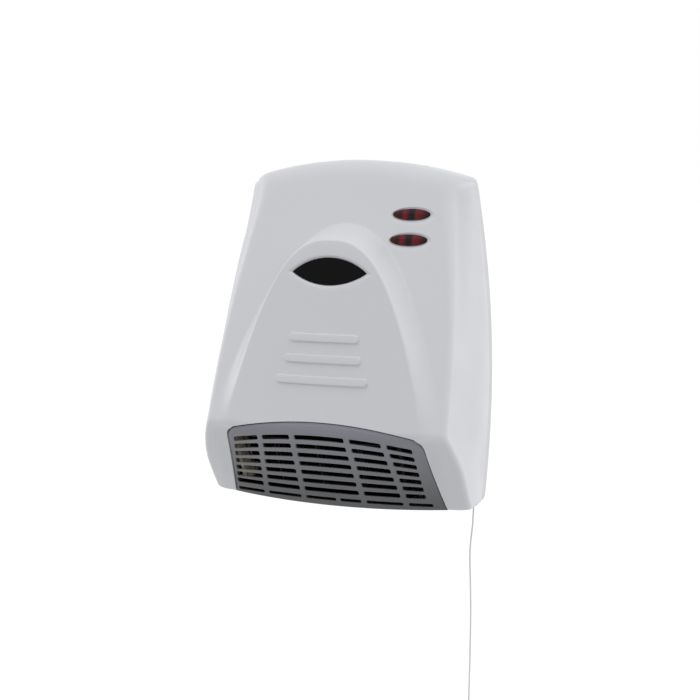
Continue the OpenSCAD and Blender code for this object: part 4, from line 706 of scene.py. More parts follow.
# %% [markdown]
# ## Features on the cover
#
# Openings, bevels and ribs all have an outline in the plane of the wall and a profile square to the
# surface. So one function builds them all: it takes the outline at several growths, lays each on the
# surface at its own height and skins the rings. As a cutter the solid leaves an opening with the very edge
# a mould gives it, rounded or bevelled, and that needs no bevel modifier on a boolean's ragged edges.

# %% Solids that stand on the surface
def on_surface(outline, levels, depth_at=front_d):
    """Rings (levels, points, 3): the outline grown by levels[i][0], levels[i][1] over the surface."""
    rings = []
    for growth, height in levels:
        x, z = outline(growth)
        rings.append(np.stack([x, -(depth_at(x, z) + height), z], -1))
    return np.array(rings)


def rounded_lip(radius, steps=5, arc=78):
    """Levels of a cutter whose upper edge flares in an arc of arc degrees and leaves a rounded edge."""
    turn = np.radians(np.linspace(0, arc, steps + 1))
    return [(radius * (1 - c), radius * (s - 1)) for c, s in zip(np.cos(turn), np.sin(turn))]


def stadium(x, z, half, radius, points=12):
    """Outline of a bar with round ends, half long from its middle; growth -radius is its middle line."""
    turn = np.linspace(-np.pi / 2, np.pi / 2, points)
    run = np.linspace(-1, 1, 24)[1:-1]

    def outline(growth):
        r = max(radius + growth, 0)
        h = half - radius
        return (x + np.concatenate([h + r * np.cos(turn), -h * run, -h - r * np.cos(turn), h * run]),
                z + np.concatenate([r * np.sin(turn), np.full(run.shape, r), -r * np.sin(turn),
                                    np.full(run.shape, -r)]))
    return outline


def ellipse(x, z, a, b, points=72, shift=(0, 0)):
    """Outline of an ellipse that moves by shift for each unit of growth."""
    turn = 2 * np.pi * np.arange(points) / points
    return lambda g: (x + shift[0] * g + (a + g) * np.cos(turn), z + shift[1] * g + (b + g) * np.sin(turn))


def almond(x, z, half, rise, fall, points=60):
    """Outline between two circle arcs that meet in two tips, rise above the middle and fall below it."""
    def outline(growth):
        a, up, down = half + 2 * growth, rise + growth, fall + growth
        px = a * np.cos(np.linspace(0, np.pi, points))
        r_up, r_down = (a * a + up * up) / (2 * up), (a * a + down * down) / (2 * down)
        upper = np.sqrt(np.maximum(r_up ** 2 - px ** 2, 0)) - (r_up - up)
        lower = -np.sqrt(np.maximum(r_down ** 2 - px ** 2, 0)) + (r_down - down)
        return x + np.concatenate([px, px[::-1][1:-1]]), z + np.concatenate([upper, lower[::-1][1:-1]])
    return outline


# %% [markdown]
# Three ribs lie across the hood, each longer than the one above. They are part of the moulding, so they are
# joined to it. Their sides stand up from the surface and their upper edge is a quarter circle.

# %% Ribs
RIB_RISE, RIB_R, RIB_EDGE = 2, 3.5, 1.2
rib_top = [(-RIB_EDGE * (1 - math.cos(t)), RIB_RISE - RIB_EDGE * (1 - math.sin(t)))
           for t in np.linspace(0, math.pi / 2, 7)]
rib_levels = [(-RIB_R, -RIB_EDGE), (0, -RIB_EDGE), (0, 0)] + rib_top + [(-RIB_R, RIB_RISE)]
ribs = [loft("rib", on_surface(stadium(0, z, half, RIB_R), rib_levels))
        for z, half in ((FOOT + 152.2, 30.8), (FOOT + 134.9, 33.8), (FOOT + 117.4, 40.4))]
carve(cover, ribs, "UNION")
print("cover with ribs", len(cover.data.vertices), "points")

# %% [markdown]
# ## Openings in the cover
#
# The window lies in an almond with a broad bevel, each lamp in a shallow dish that widens to the lower
# right, where the light catches it. Air slots run along the top edge and two screws hold the cover from
# below.

# %% Window and lamp openings
WINDOW_Z, WINDOW_HALF, WINDOW_RISE, WINDOW_FALL = FOOT + 205.4, 32.4, 12.2, 10.1
LENS_X, LENS_A, LENS_B = 56, 16, 4.6
LENS_ZS = (103.5, 82.1)
window_shape = almond(0, WINDOW_Z, WINDOW_HALF, WINDOW_RISE, WINDOW_FALL)
window_levels = [(0.25, -8), (0.25, -2.0), (0.45, -1.7), (1.9, -0.3), (2.2, -0.08), (2.5, 0.05), (3.2, 1.5)]
openings = [loft("window", on_surface(window_shape, window_levels))]
lens_levels = [(0.15, -6), (0.15, -1.3), (0.35, -1.1), (1.9, -0.5), (2.5, -0.15), (2.75, 0.05), (3.4, 1.5)]
for z in LENS_ZS:
    dish = ellipse(LENS_X, z, LENS_A, LENS_B, shift=(0.5, -0.32))
    openings.append(loft("lamp", on_surface(dish, lens_levels)))
carve(cover, openings)


# %% [markdown]
# The air slots and the screw holes run straight up and down, so each is cut by a plain loft between two
# equal rings. The slots follow the arch of the top edge and end inside the cover.

# %% Slots and screw holes
def upright(name, x, depth, outline, low, high):
    """A solid with an outline of (depth, x) points round (x, depth) from height low to height high."""
    along, across = outline
    return loft(name, [np.stack([x + across, along - depth, np.full(len(along), z)], -1)
                       for z in (low, high)])


INTAKE_X, INTAKE_W, INTAKE_DEPTHS = 12 * (np.arange(11) - 5), 4.5, (17, 23.6)
INTAKE_FROM, INTAKE_TO = -12, 18
SCREW_X, SCREW_D, SCREW_R, SCREW_FROM, SCREW_TO = 58, 24, 1.9, FOOT - 5, FOOT + 8
air_slot = stadium(0, 0, (INTAKE_DEPTHS[1] - INTAKE_DEPTHS[0]) / 2, INTAKE_W / 2)(0)
screw_hole = ellipse(0, 0, SCREW_R, SCREW_R, 48)(0)
slots = [upright("intake", x, sum(INTAKE_DEPTHS) / 2, air_slot, top_z(x) + INTAKE_FROM, top_z(x) + INTAKE_TO)
         for x in INTAKE_X]
slots += [upright("screw_hole", x, SCREW_D, screw_hole, SCREW_FROM, SCREW_TO) for x in (-SCREW_X, SCREW_X)]
carve(cover, slots)
print("cover with openings", len(cover.data.vertices), "points")

# %% [markdown]
# ## The outlet grille
#
# The grille continues the knee and the chin, so its front is the same surface. Its outline has splayed
# flanks, rounded upper corners and an arched top. Columns run from the lower edge to the outline's top and
# the flanks bend them, so that a grid fills the outline exactly. A shallow step runs along its border, and
# its lower edge rolls back as a sill under the outlet.

# %% Outline of the grille
GRILLE_TOP, GRILLE_CORNER, GRILLE_R = FOOT + 82.5, FOOT + 69, 7
GRILLE_HALF, GRILLE_FOOT_HALF = 86.6, 98.3
CORNER_LIFT = 1.4
GRILLE_ARCH = (GRILLE_TOP - GRILLE_CORNER - CORNER_LIFT) / GRILLE_HALF ** 2
CORNER_START, CORNER_SHARE, FLANK_HOLLOW = GRILLE_HALF - 1.2 * GRILLE_R, 0.93, 3.2


def flank_x(z):
    """Half the grille's width at a height: it splays towards the foot and is slightly hollow."""
    t = (GRILLE_CORNER - z) / (GRILLE_CORNER - FOOT)
    return mix(GRILLE_HALF, GRILLE_FOOT_HALF, t) - FLANK_HOLLOW * t * (1 - t)


def grille_top(u):
    """Where column u (-1 to 1) meets the top: on the arch, or in the rounded corner for the last few."""
    zc, xa, a = GRILLE_CORNER - GRILLE_R, CORNER_START, np.abs(u)
    t = np.clip((1 - a) / (1 - CORNER_SHARE), 0, 1)
    x = np.where(a < CORNER_SHARE, xa * a / CORNER_SHARE, bezier(flank_x(zc), GRILLE_HALF, xa, t))
    z = np.where(a < CORNER_SHARE, GRILLE_TOP - GRILLE_ARCH * x ** 2,
                 bezier(zc, GRILLE_CORNER + CORNER_LIFT, GRILLE_TOP - GRILLE_ARCH * xa ** 2, t))
    return x * np.sign(u), z


def grille_place(u, v, low):
    """x and z of the grille's grid: v = 0 at the lower edge, low above the foot line, and 1 at the top."""
    tx, tz = grille_top(u)
    z = mix(front_foot_z(u * GRILLE_FOOT_HALF) + low, tz, v)
    return u * flank_x(z) + v ** 2 * (tx - u * flank_x(tz)), z


def outlet_d(x, z):
    """Depth of the knee and chin alone, without the face or the ramp."""
    return around(nose_mid(z), x)


def skew(z):
    """Below the knee the same thickness takes more depth, because the surface slopes."""
    return np.where(z < KNEE_Z, 1 / math.cos(math.radians(CHIN_ANGLE)), 1)


def edged(n, fine, count):
    """Shares from 0 to 1 with count small steps of size fine at both ends and n even steps between."""
    ends = fine * np.arange(count)
    return np.concatenate([ends, np.linspace(fine * count, 1 - fine * count, n), 1 - ends[::-1]])


# %% [markdown]
# The opening has the grille's outline, grown by a narrow gap all round. Its cutter is a block between two
# copies of that grid, one in front of the cover and one far behind it, and it runs out below the foot.

# %% Opening for the grille
GAP, NOTCH_BELOW, NOTCH_OUT, NOTCH_IN = 0.8, -6, 12, -32
cut_u, cut_v = np.meshgrid(edged(60, 0.004, 4) * 2 - 1, edged(40, 0.01, 3))


def notch_layer(lift):
    """The grille's outline, grown by the gap, as a grid at a height over its surface."""
    x, z = grille_place(cut_u, cut_v, NOTCH_BELOW)
    grow = 1 + GAP / GRILLE_HALF
    zg = z + GAP * smooth_step((cut_v - 0.9) / 0.1)
    return np.stack([x * grow, -(outlet_d(x, z) + lift * skew(z)), zg], -1)


carve(cover, [solid_sheet("notch", notch_layer(NOTCH_OUT), notch_layer(NOTCH_IN))])
shade(cover, 32)
print("cover with its opening", len(cover.data.vertices), "points",
      sum(len(p.vertices) - 2 for p in cover.data.polygons), "triangles")

# %% [markdown]
# The panel is the space between the outlet surface and a second one behind it. The step that runs along
# its border and the round of its rim are subtracted from the depth, by the distance to the border.

# %% Panel of the grille
GRILLE_T, SILL_D, ROLL, FOOT_GAP, FIRST_V = 2.2, 30, 3, 0.3, 0.024
STEP_H, STEP_IN, STEP_EASE, RIM_ROUND_H, RIM_ROUND = 0.6, 1.9, 0.4, 0.5, 0.6
panel_u, panel_v = np.meshgrid(edged(130, 0.0016, 6) * 2 - 1, mix(FIRST_V, 1, edged(56, 0.0042, 7)))


def panel(depth_in):
    """The panel's front, depth_in behind the surface: chin and knee, a rolled lower edge, then the sill."""
    u, v = panel_u, panel_v
    x, z = grille_place(u, v, FOOT_GAP)
    to_edge = np.minimum((1 - v) * (GRILLE_TOP - FOOT), (1 - np.abs(u)) * GRILLE_HALF)
    step = (STEP_H * (1 - smooth_step((to_edge - STEP_IN) / STEP_EASE))
            + RIM_ROUND_H * (1 - smooth_step(to_edge / RIM_ROUND)))
    front = np.stack([x, -(outlet_d(x, z) - (step + depth_in) * skew(z)), z], -1)
    # roll: a Bezier from the lowest row of the chin round the edge, then the sill straight back
    x, z = grille_place(u[:1], np.zeros_like(u[:1]), FOOT_GAP + depth_in)
    corner = np.stack([x, -(outlet_d(x, z) - depth_in * skew(z)), z], -1)
    t = np.linspace(0, 1, 10)[:-1, None, None]
    roll = bezier(corner + [0, ROLL - depth_in / 2, 0], corner, front[:1], t)
    back = np.linspace(SILL_D, ROLL + 0.5, 5)[:, None, None]
    sill = corner + np.array([0.0, 1, 0]) * (back - depth_in / 2)
    return np.concatenate([sill, roll, front])


grille = solid_sheet("curved_outlet_grille", panel(0), panel(GRILLE_T))
print("panel", len(grille.data.vertices), "points")

# %% [markdown]
# Eight rows of slots follow the arch at the top and level out towards the foot; four bars part them, and
# the lowest row runs further out. Every slot is cut by a solid whose upper edge flares in an arc, so all
# bars get the rounded edges of the moulding.

# %% Slots of the grille
SLOT_ROWS, SLOT_TOP, SLOT_PITCH, SLOT_H = 8, FOOT + 69.6, 8.58, 4.2
SLOT_ARCH, SLOT_R, SLOT_EDGE_R, LOWEST_SHARE = 0.00129, 1.3, 0.55, 0.7
BAR_W, BAR_XS = 4.5, {1: (24.2, 27), 2: (55, 62.7)}  # a bar's middle in the top row and near the foot
FOOT_BAR_X, FOOT_BAR_W = 4.5, 3.6
LEFT_ENDS, RIGHT_ENDS, LOWEST_ENDS = (82, 92), (77.8, 81.8), (93.3, 86.8)
BENT_ROWS = SLOT_ROWS - 2


def slot_z(row, x):
    """Middle line of a row: an arch that flattens row by row."""
    return SLOT_TOP - SLOT_PITCH * row - SLOT_ARCH * max(0, 1 - row / BENT_ROWS) * x ** 2


def bar_x(row, n):
    """Middle of bar n (-2 to 2, no bar 0) in a row; the bars splay a little towards the foot."""
    return math.copysign(mix(*BAR_XS[abs(n)], row / BENT_ROWS), n)


def slot_shape(row, left, right, half):
    """Outline of a slot: a long rounded rectangle bent along its row."""
    def outline(growth):
        r, h = SLOT_R + growth, half + growth
        turn = np.radians(np.linspace(0, 90, 5))
        c, s = r * np.cos(turn), r * np.sin(turn)
        run = np.linspace(0, 1, 14)[1:-1]
        a, b = left - growth + r, right + growth - r
        x = np.concatenate([b + c, mix(b, a, run), a - s, a - c, mix(a, b, run), b + s])
        w = np.concatenate([h - r + s, np.full(12, h), h - r + c, r - h - s, np.full(12, -h), r - h - c])
        return x, slot_z(row, x) + w
    return outline


cutters = []
for row in range(SLOT_ROWS):
    lowest = row == SLOT_ROWS - 1
    ends = LOWEST_ENDS if lowest else [mix(*side, row / BENT_ROWS) for side in (LEFT_ENDS, RIGHT_ENDS)]
    bars = [(bar_x(row, n), BAR_W) for n in (-2, -1, 1, 2)]
    if lowest:
        bars.insert(2, (FOOT_BAR_X, FOOT_BAR_W))
    lefts = [-ends[0]] + [x + w / 2 for x, w in bars]
    rights = [x - w / 2 for x, w in bars] + [ends[1]]
    half = SLOT_H / 2 * (LOWEST_SHARE if lowest else 1)
    levels = [(0, -9)] + rounded_lip(SLOT_EDGE_R) + [(0.75, 0.4), (0.75, 3)]
    cutters += [loft("slot", on_surface(slot_shape(row, a, b, half), levels, outlet_d))
                for a, b in zip(lefts, rights)]
carve(grille, cutters)
shade(grille, 32)
print("grille with", len(cutters), "slots", len(grille.data.vertices), "points")

# %% [markdown]
# ## Window and lenses
#
# The window is a blank insert of gloss black plastic that follows the hood. The lenses are red and domed,
# with a collar behind the cover that keeps them in. Rings that shrink towards the middle make both.

# %% Inserts
def insert(name, outline, centre, profile):
    """A closed solid: rings of the outline scaled about centre by profile[i][0], at height profile[i][1]."""
    x, z = outline(0)
    rings = []
    for scale, height in profile:
        px, pz = centre[0] + scale * (x - centre[0]), centre[1] + scale * (z - centre[1])
        rings.append(np.stack([px, -(front_d(px, pz) + height), pz], -1))
    return loft(name, np.array(rings), 40)


window = insert("gloss_window", window_shape, (0, WINDOW_Z),
                [(0, -3.6), (0.5, -3.6), (0.99, -3.6), (1, -3.5), (1, -1.5), (0.996, -1.3), (0.985, -1.2)]
                + [(s, -1.2) for s in np.linspace(0.96, 0, 16)])
lens_profile = ([(0, -4), (1.12, -4), (1.12, -2.8), (1, -2.8), (1, -0.6), (0.985, -0.3)]
                + [(s, -0.1 + 1.3 * (1 - s * s) ** 0.6) for s in np.linspace(0.96, 0, 18)])
lenses = [insert(name, ellipse(LENS_X, z, LENS_A, LENS_B), (LENS_X, z), lens_profile)
          for name, z in (("upper_lamp_lens", LENS_ZS[0]), ("lower_lamp_lens", LENS_ZS[1]))]
print("inserts", [p.name for p in [window] + lenses])

# %% [markdown]
# The mouldings all move with the body. Each stands for one node, the tray and the bush too, whose shapes
# are copies of theirs.

for piece, node, slot in ((cover, "front_cover", "cover_white"), (grille, "outlet_grille", "grille_grey"),
                          (window, "window_insert", "window_black"), (lenses[0], "upper_lens", "lens_red"),
                          (lenses[1], "lower_lens", "lens_red"), (tray, "rear_housing", "housing_white"),
                          (bush, "cord_bush", "block_white")):
    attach(piece, "heater_body")
    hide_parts(node)
    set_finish(piece, slot)

# %% [markdown]
# ## Finishes
#
# Every finish is built from nodes and is named for its stuff. Colours are written as they look on screen
# and one function turns them into the linear values that a shader works in. Patterns are placed in the
# object's own coordinates, which are metres here, so a size given in millimetres is the real one.

# %% Tools for materials
def linear(colour):
    """An sRGB colour such as d8d8da as linear red, green, blue and 1."""
    c = np.array([int(colour[i:i + 2], 16) for i in (0, 2, 4)]) / 255
    return tuple(np.where(c <= 0.04045, c / 12.92, ((c + 0.055) / 1.055) ** 2.4)) + (1.0,)


def add_node(owner, kind, settings=(), links=()):
    """Adds a node to a material or a world: values for inputs or attributes, then links into its inputs."""
    node = owner.node_tree.nodes.new("ShaderNode" + kind)
    for key, value in dict(settings).items():
        if isinstance(key, int) or key in node.inputs:
            node.inputs[key].default_value = value
        else:
            setattr(node, key, value)
    for key, output in dict(links).items():
        owner.node_tree.links.new(output, node.inputs[key])
    return node


def new_material(name, colour, roughness=0.5, metallic=0.0, **settings):
    """A material with its shader set."""
    material = bpy.data.materials.new(name)
    material.use_nodes = True
    shader = material.node_tree.nodes["Principled BSDF"]
    values = {"Base Color": linear(colour), "Roughness": roughness, "Metallic": metallic, **settings}
    for key, value in values.items():
        shader.inputs[key].default_value = value
    material.diffuse_color = linear(colour)
    return material


def drive(material, key, output):
    """Lets an output drive one input of the shader."""
    material.node_tree.links.new(output, material.node_tree.nodes["Principled BSDF"].inputs[key])


def ramp(material, factor, stops):
    """A colour ramp through stops, which are pairs of place and sRGB colour."""
    node = add_node(material, "ValToRGB", links={"Fac": factor})
    points = node.color_ramp.elements
    while len(points) < len(stops):
        points.new(0.5)
    for point, (place, colour) in zip(points, stops):
        point.position, point.color = place, linear(colour)
    return node.outputs["Color"]


def spread(material, value, low, high, start=0.0, end=1.0):
    """Maps a value from start..end to low..high."""
    settings = {"From Min": start, "From Max": end, "To Min": low, "To Max": high}
    return add_node(material, "MapRange", settings, {"Value": value}).outputs["Result"]


def blend_colours(material, share, first, second):
    """Mixes two colours by share; each is an output or an sRGB colour."""
    node = add_node(material, "Mix", {"data_type": "RGBA"})
    for key, source in (("Factor", share), ("A", first), ("B", second)):
        socket = [i for i in node.inputs if i.name == key and i.enabled][0]
        if isinstance(source, str):
            socket.default_value = linear(source)
        else:
            material.node_tree.links.new(source, socket)
    return [o for o in node.outputs if o.enabled][0]


def place_mm(material, stretch=(1, 1, 1)):
    """Object coordinates in millimetres, stretched per axis."""
    where = {"Vector": add_node(material, "TexCoord").outputs["Object"]}
    return add_node(material, "Mapping", {"Scale": [s / MM for s in stretch]}, where).outputs["Vector"]


def along_axis(material, axis):
    """One of the object coordinates in millimetres."""
    return add_node(material, "SeparateXYZ", links={"Vector": place_mm(material)}).outputs[axis]


def noise(material, size_mm, detail=2, stretch=(1, 1, 1)):
    """Noise whose grains are size_mm wide."""
    return add_node(material, "TexNoise", {"Scale": 1 / size_mm, "Detail": detail},
                    {"Vector": place_mm(material, stretch)}).outputs["Fac"]


def waves(material, scale, direction, where):
    """Sine bands along one direction of the coordinates where."""
    return add_node(material, "TexWave", {"Scale": scale, "bands_direction": direction},
                    {"Vector": where}).outputs["Fac"]


def bump(material, height, depth_mm):
    """Tilts the shading as if height, from 0 to 1, stood depth_mm high."""
    normal = add_node(material, "Bump", {"Distance": depth_mm * MM, "Strength": 1.0}, {"Height": height})
    drive(material, "Normal", normal.outputs["Normal"])


def tinted(material, pattern, stops, depth_mm=0):
    """Colours a material by a ramp over a pattern, which may also be raised."""
    drive(material, "Base Color", ramp(material, pattern, stops))
    if depth_mm:
        bump(material, pattern, depth_mm)
    return material


# %% [markdown]
# ### Plastics
#
# Injection-moulded plastic is never perfectly even: the mould's spark-eroded grain breaks the highlight
# into a soft sheen, and the sheen varies a little over centimetres. A fine bump gives the grain and slow
# noise moves the roughness. Darker, lighter, glossier or duller plastics differ only in numbers.

# %% Plastics
def moulded(name, colour, roughness, grain_mm=0.35, depth_mm=0.004, sway=0.06, **settings):
    """A moulded plastic: grain of the mould as bump, and a sheen that sways around roughness."""
    material = new_material(name, colour, roughness, IOR=1.53, **settings)
    slow = noise(material, 35, 1)
    drive(material, "Roughness", spread(material, slow, roughness - sway, roughness + sway, 0.3, 0.7))
    bump(material, noise(material, grain_mm, 3), depth_mm)
    return material


finishes = {
    # semi-gloss white with the faintest cool cast: it carries the soft gradients of the form
    "cover_white": moulded("white moulded ABS", "dedfe1", 0.42),
    "housing_white": moulded("white moulded ABS of the back", "d9dadb", 0.46),
    # polished insert: black and dyed through, so it mirrors little of the white room
    "window_black": moulded("black gloss acrylic", "060706", 0.2, grain_mm=6, depth_mm=0.002, sway=0.02,
                            **{"Specular IOR Level": 0.08}),
    "switch_cream": moulded("cream urea plastic", "e2dac4", 0.38, sway=0.04),
    "slider_blue": moulded("blue acetal", "3c62ad", 0.35, sway=0.04),
    "wheel_red": moulded("red acetal", "bb3a35", 0.35, sway=0.04),
    "block_white": moulded("white polyamide", "e6e5df", 0.5),
    "tie_grey": moulded("grey polyamide tie", "55565a", 0.5),
    # the pull is handled, so it is smoother than the case
    "bob_white": moulded("white polished plastic", "e4e4e2", 0.3, sway=0.03),
    # rubber: dark, dull and slightly dusty
    "grommet_rubber": moulded("black rubber", "232323", 0.75, grain_mm=0.6, depth_mm=0.01),
}
print("plastics", len(finishes))

# %% [markdown]
# The grille is a satin grey. Its colour is a ramp over the height that paints shade on it, a tone darker
# towards the foot, where the chin faces down.

# %% Grey of the grille, with painted shade towards the foot
material = moulded("grey moulded PBT", "818286", 0.44, depth_mm=0.006)
grille_shade_share = spread(material, along_axis(material, "Z"), 0, 1, FOOT, GRILLE_TOP)
# painted shade: the grey darkens towards the foot of the grille
finishes["grille_grey"] = tinted(material, grille_shade_share, [(0.0, "464749"), (0.5, "77787b"), (1.0, "8d8e96")])

# %% [markdown]
# The lamp lenses are red and clear, over dark holes that hold two thin lamps. Seen from outside that gives
# a deep red with darker upright bands in the middle and at the ends, and a dark rim where the lens is
# thick. The bands are painted shade of the holes behind, drawn by the distance from the lens's middle line
# along x.

# %% Red lenses
material = new_material("red clear polycarbonate", "7c1420", 0.16, **{"Specular IOR Level": 0.2})
along_lens = spread(material, along_axis(material, "X"), 0, 1, LENS_X - LENS_A, LENS_X + LENS_A)
# painted shade: darker upright bands where the holes lie behind the lens
tinted(material, along_lens, [(0.0, "24060a"), (0.12, "480a12"), (0.22, "1f0809"), (0.32, "760f1a"),
                              (0.41, "560c16"), (0.46, "100809"), (0.58, "100809"), (0.64, "6c101a"),
                              (0.76, "640e18"), (0.88, "330810"), (1.0, "1c0508")])
bump(material, noise(material, 2.5, 1), 0.03)
finishes["lens_red"] = material

# %% [markdown]
# The neon lamps are small glass tubes, the board that carries them is brown resin paper and the heating
# element is wound on boards of mica, which is beige with grains that glitter a little. Right of its left end
# the mica is painted nearly black: painted shade of the inside behind the grille.

# %% Glass, board, mica and ceramic
MICA_SHADE_FROM_X = -80
material = new_material("neon lamp glass", "e9b48c", 0.06, IOR=1.5, **{"Transmission Weight": 0.55})
finishes["neon_glass"] = tinted(material, noise(material, 4, 1), [(0.35, "d99a6a"), (0.65, "f0cfae")])

material = new_material("brown resin paper", "a8794a", 0.55, IOR=1.5)
fibres = noise(material, 1.2, 3, (1, 1, 0.25))
finishes["board"] = tinted(material, fibres, [(0.3, "946538"), (0.7, "b98a58")], 0.02)

material = new_material("pressed mica board", "b49c74", 0.6, IOR=1.58)
flakes = add_node(material, "TexVoronoi", {"Scale": 0.7}, {"Vector": place_mm(material)})
mica_beige = ramp(material, flakes.outputs["Color"], [(0.2, "cdbd98"), (0.5, "dfd2b0"), (0.8, "efe5c8")])
# painted shade: right of its left end the mica is painted nearly black
mica_painted_shade = ramp(material, flakes.outputs["Color"], [(0.2, "14120f"), (0.5, "1d1a15"), (0.8, "262119")])
mica_shade_share = spread(material, along_axis(material, "X"), 0, 1, MICA_SHADE_FROM_X, MICA_SHADE_FROM_X + 4)
drive(material, "Base Color", blend_colours(material, mica_shade_share, mica_beige, mica_painted_shade))
drive(material, "Roughness", spread(material, flakes.outputs["Distance"], 0.3, 0.65))
finishes["mica"] = material

material = new_material("glazed ceramic", "e2dfd2", 0.22, IOR=1.55)
drive(material, "Roughness", spread(material, noise(material, 5, 2), 0.15, 0.35))
bump(material, noise(material, 3, 1), 0.02)
finishes["ceramic"] = material

# %% [markdown]
# ### Metals
#
# Rolled and drawn metals carry fine lines along one direction; cast ones have a coarser skin. Zinc-coated
# sheet shows crystals as large as a fingertip; below the duct's mouth it is painted nearly black, as painted
# shade of the inside behind the grille. The steel packet of the motor is stacked from half-millimetre
# sheets, which show as lines, and its coil is wound from copper wire.

# %% Metals
DUCT_SHADE_Z, DUCT_SHADE_EASE = -75, 25


def metal(name, colour, roughness, stretch=(1, 1, 1), grain_mm=0.4, depth_mm=0.003):
    """A metal whose lines or skin are noise, stretched along one axis where it was rolled or turned."""
    material = new_material(name, colour, roughness, 1.0)
    lines = noise(material, grain_mm, 3, stretch)
    drive(material, "Roughness", spread(material, lines, roughness - 0.1, roughness + 0.12, 0.3, 0.7))
    bump(material, lines, depth_mm)
    return material


finishes.update({
    "bearing_bronze": metal("sintered bronze", "a8814f", 0.4, grain_mm=0.2, depth_mm=0.006),
    "steel": metal("ground steel", "b9bbbe", 0.25, (0.1, 1, 1)),
    "die_cast": metal("die-cast zinc", "9a9c9f", 0.5, grain_mm=0.8, depth_mm=0.02),
    "screw_steel": metal("zinc-plated steel", "c3c4c1", 0.3, grain_mm=0.6),
    "resistance_wire": metal("oxidised resistance wire", "141211", 0.8, grain_mm=0.3),
    "terminal_brass": metal("brass", "c8a861", 0.3),
    "spring_steel": metal("spring steel wire", "a5a7aa", 0.28),
    "fan_drum": metal("pressed aluminium", "8e9092", 0.38, (0.15, 1, 1)),
})

material = new_material("galvanised sheet", "a9adb0", 0.42, 1.0)
crystals = add_node(material, "TexVoronoi", {"Scale": 0.11, "Randomness": 1}, {"Vector": place_mm(material)})
bright = ramp(material, crystals.outputs["Color"], [(0.1, "969a9e"), (0.5, "a9adb0"), (0.9, "bcc0c2")])
# painted shade: the sheet is painted nearly black below the duct's mouth
above = spread(material, along_axis(material, "Z"), 0, 1, DUCT_SHADE_Z, DUCT_SHADE_Z + DUCT_SHADE_EASE)
drive(material, "Base Color", blend_colours(material, above, "1c1b1a", bright))
drive(material, "Roughness", spread(material, crystals.outputs["Color"], 0.34, 0.52))
finishes["galvanised_sheet"] = material

material = new_material("stacked steel sheets", "6d7075", 0.45, 1.0)
sheets = waves(material, 1.0, "X", place_mm(material, (1.26, 1, 1)))
finishes["laminations"] = tinted(material, sheets, [(0.1, "3c3e42"), (0.5, "74777c")], 0.05)

material = new_material("enamelled copper winding", "a85a32", 0.3, 1.0)
windings = waves(material, 1.6, "Y", place_mm(material))
finishes["copper"] = tinted(material, windings, [(0.1, "6b3218"), (0.6, "b8683c")], 0.1)

# %% [markdown]
# ### Braid
#
# The pull cord is a braided polyester sleeve. Two families of strands cross on it; where they cross, one
# lies over the other. In the cord's own UV map, round it and along it, that is two sets of slanted waves
# whose product makes the small diamonds, and a bump of a tenth of a millimetre raises them.

# %% Braided cord
material = new_material("white polyester braid", "f4f4f2", 0.75, IOR=1.5)
uv = add_node(material, "UVMap", {"uv_map": "braid"}).outputs["UV"]
strands = [waves(material, 0.3183, "DIAGONAL",
                 add_node(material, "Mapping", {"Scale": (8, slant, 1)}, {"Vector": uv}).outputs["Vector"])
           for slant in (2.6, -2.6)]
crossing = add_node(material, "Math", {"operation": "MULTIPLY"}, dict(enumerate(strands))).outputs["Value"]
finishes["cord_white"] = tinted(material, crossing, [(0.0, "e2e2e1"), (0.5, "fafaf8")], 0.1)
print("finishes", len(finishes))

# %% [markdown]
# Every piece then gets the finish of its slot. The nodes of the frame have theirs in its record, also those
# that are hidden or replaced.

# %% Put a finish on every piece
new_pieces = (cover, tray, bush, grille, window, *lenses, pull_cord, cord_pull)
wanted = [(nodes[part["node"]], part["material_slot"]) for part in frame["record"]["subparts"]]
wanted += [(piece, piece["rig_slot"]) for piece in new_pieces]
for piece, slot in wanted:
    piece.data.materials.clear()
    piece.data.materials.append(finishes[slot])
print("nodes without a finish", [name for name in nodes if not nodes[name].data.materials])

# %% [markdown]
# ## Light and floor
#
# The photograph is lit flat, as catalogue pictures are: white all round, most from above, and a little more
# from the right than from the left. The world gives the first part, brighter in the direction of a slope,
# and three soft lamps shape the top and both sides. Camera, mirrors and glass see plain white instead.

# %% Light
SKY_LEVEL, SKY_SLOPE = 0.55, (0.15, 0.05, 0.5)


def straight_rays(owner):
    """1 for camera, glossy and transmission rays, which show a thing itself, and 0 for all others."""
    paths = add_node(owner, "LightPath").outputs
    seen = paths["Is Camera Ray"]
    for ray in ("Is Glossy Ray", "Is Transmission Ray"):
        seen = add_node(owner, "Math", {"operation": "MAXIMUM"}, {0: seen, 1: paths[ray]}).outputs["Value"]
    return seen


def soft_lamp(name, place, target, size_mm, watts):
    """A square area lamp at place, turned to target, both in millimetres."""
    lamp = bpy.data.objects.new(name, bpy.data.lights.new(name, "AREA"))
    lamp.data.size = size_mm * MM
    lamp.data.energy = watts
    lamp.location = Vector(place) * MM
    lamp.rotation_euler = (Vector(target) - Vector(place)).to_track_quat("-Z", "Y").to_euler()
    bpy.context.scene.collection.objects.link(lamp)
    return lamp


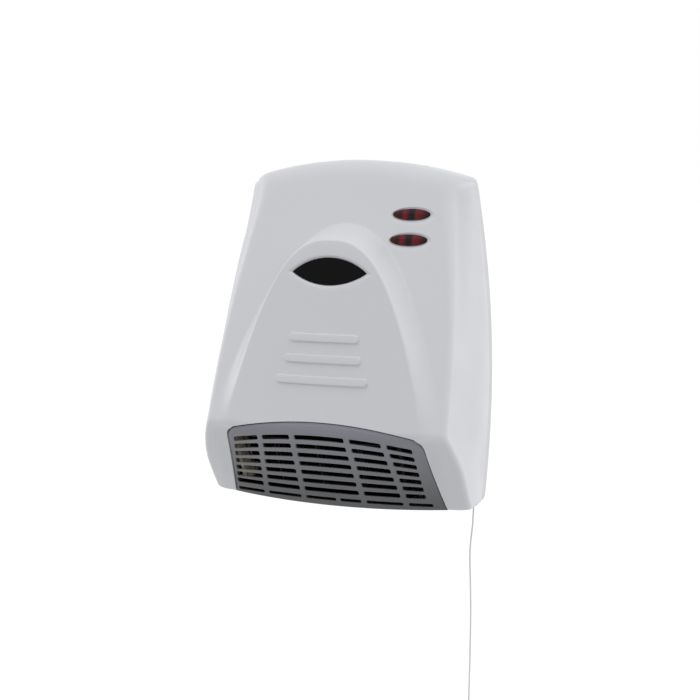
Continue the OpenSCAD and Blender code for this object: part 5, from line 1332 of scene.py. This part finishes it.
world = bpy.data.worlds.new("studio")
bpy.context.scene.world = world
world.use_nodes = True
world.node_tree.nodes.clear()
white = add_node(world, "Background", {"Color": (1, 1, 1, 1), "Strength": 1.0})
toward = add_node(world, "VectorMath", {"operation": "DOT_PRODUCT", 1: SKY_SLOPE},
                  {0: add_node(world, "TexCoord").outputs["Generated"]})
level = add_node(world, "Math", {"operation": "ADD", 1: SKY_LEVEL}, {0: toward.outputs["Value"]})
sky = add_node(world, "Background", {"Color": linear("fbfcff")}, {"Strength": level.outputs["Value"]})
choose = add_node(world, "MixShader", links={0: straight_rays(world), 1: sky.outputs[0], 2: white.outputs[0]})
add_node(world, "OutputWorld", links={"Surface": choose.outputs[0]})
BODY_MIDDLE = (0, -60, 0)
lamps = [soft_lamp("overhead softbox", (-300, -700, 1900), BODY_MIDDLE, 1500, 4),
         soft_lamp("left softbox", (-1500, 100, 150), BODY_MIDDLE, 900, 4),
         soft_lamp("right softbox", (1500, 500, 100), BODY_MIDDLE, 900, 3.5)]
bpy.context.scene.view_settings.view_transform = "Standard"
print("lamps", [lamp.data.energy for lamp in lamps], "W")

# %% [markdown]
# The floor is pale and far below, so only a faint shadow falls on it. To the camera, mirrors and glass it
# glows towards the white of the world, by a share that leaves some of that shadow.

# %% Floor
FLOOR_Z, FLOOR_HALF, GLOW_SHARE, GLOW = -620, 60000, 0.8, 1.2
floor = make_piece("floor", [(x * FLOOR_HALF, y * FLOOR_HALF, FLOOR_Z)
                             for x, y in ((-1, -1), (1, -1), (1, 1), (-1, 1))], [(0, 1, 2, 3)])
material = new_material("pale floor", "c6c6c6", 0.8)
share = add_node(material, "Math", {"operation": "MULTIPLY", 1: GLOW_SHARE}, {0: straight_rays(material)})
glow = add_node(material, "Emission", {"Strength": GLOW})
plain = material.node_tree.nodes["Principled BSDF"]
shown = add_node(material, "MixShader", links={0: share.outputs[0], 1: plain.outputs[0], 2: glow.outputs[0]})
end = material.node_tree.nodes["Material Output"]
material.node_tree.links.new(shown.outputs[0], end.inputs["Surface"])
floor.data.materials.append(material)
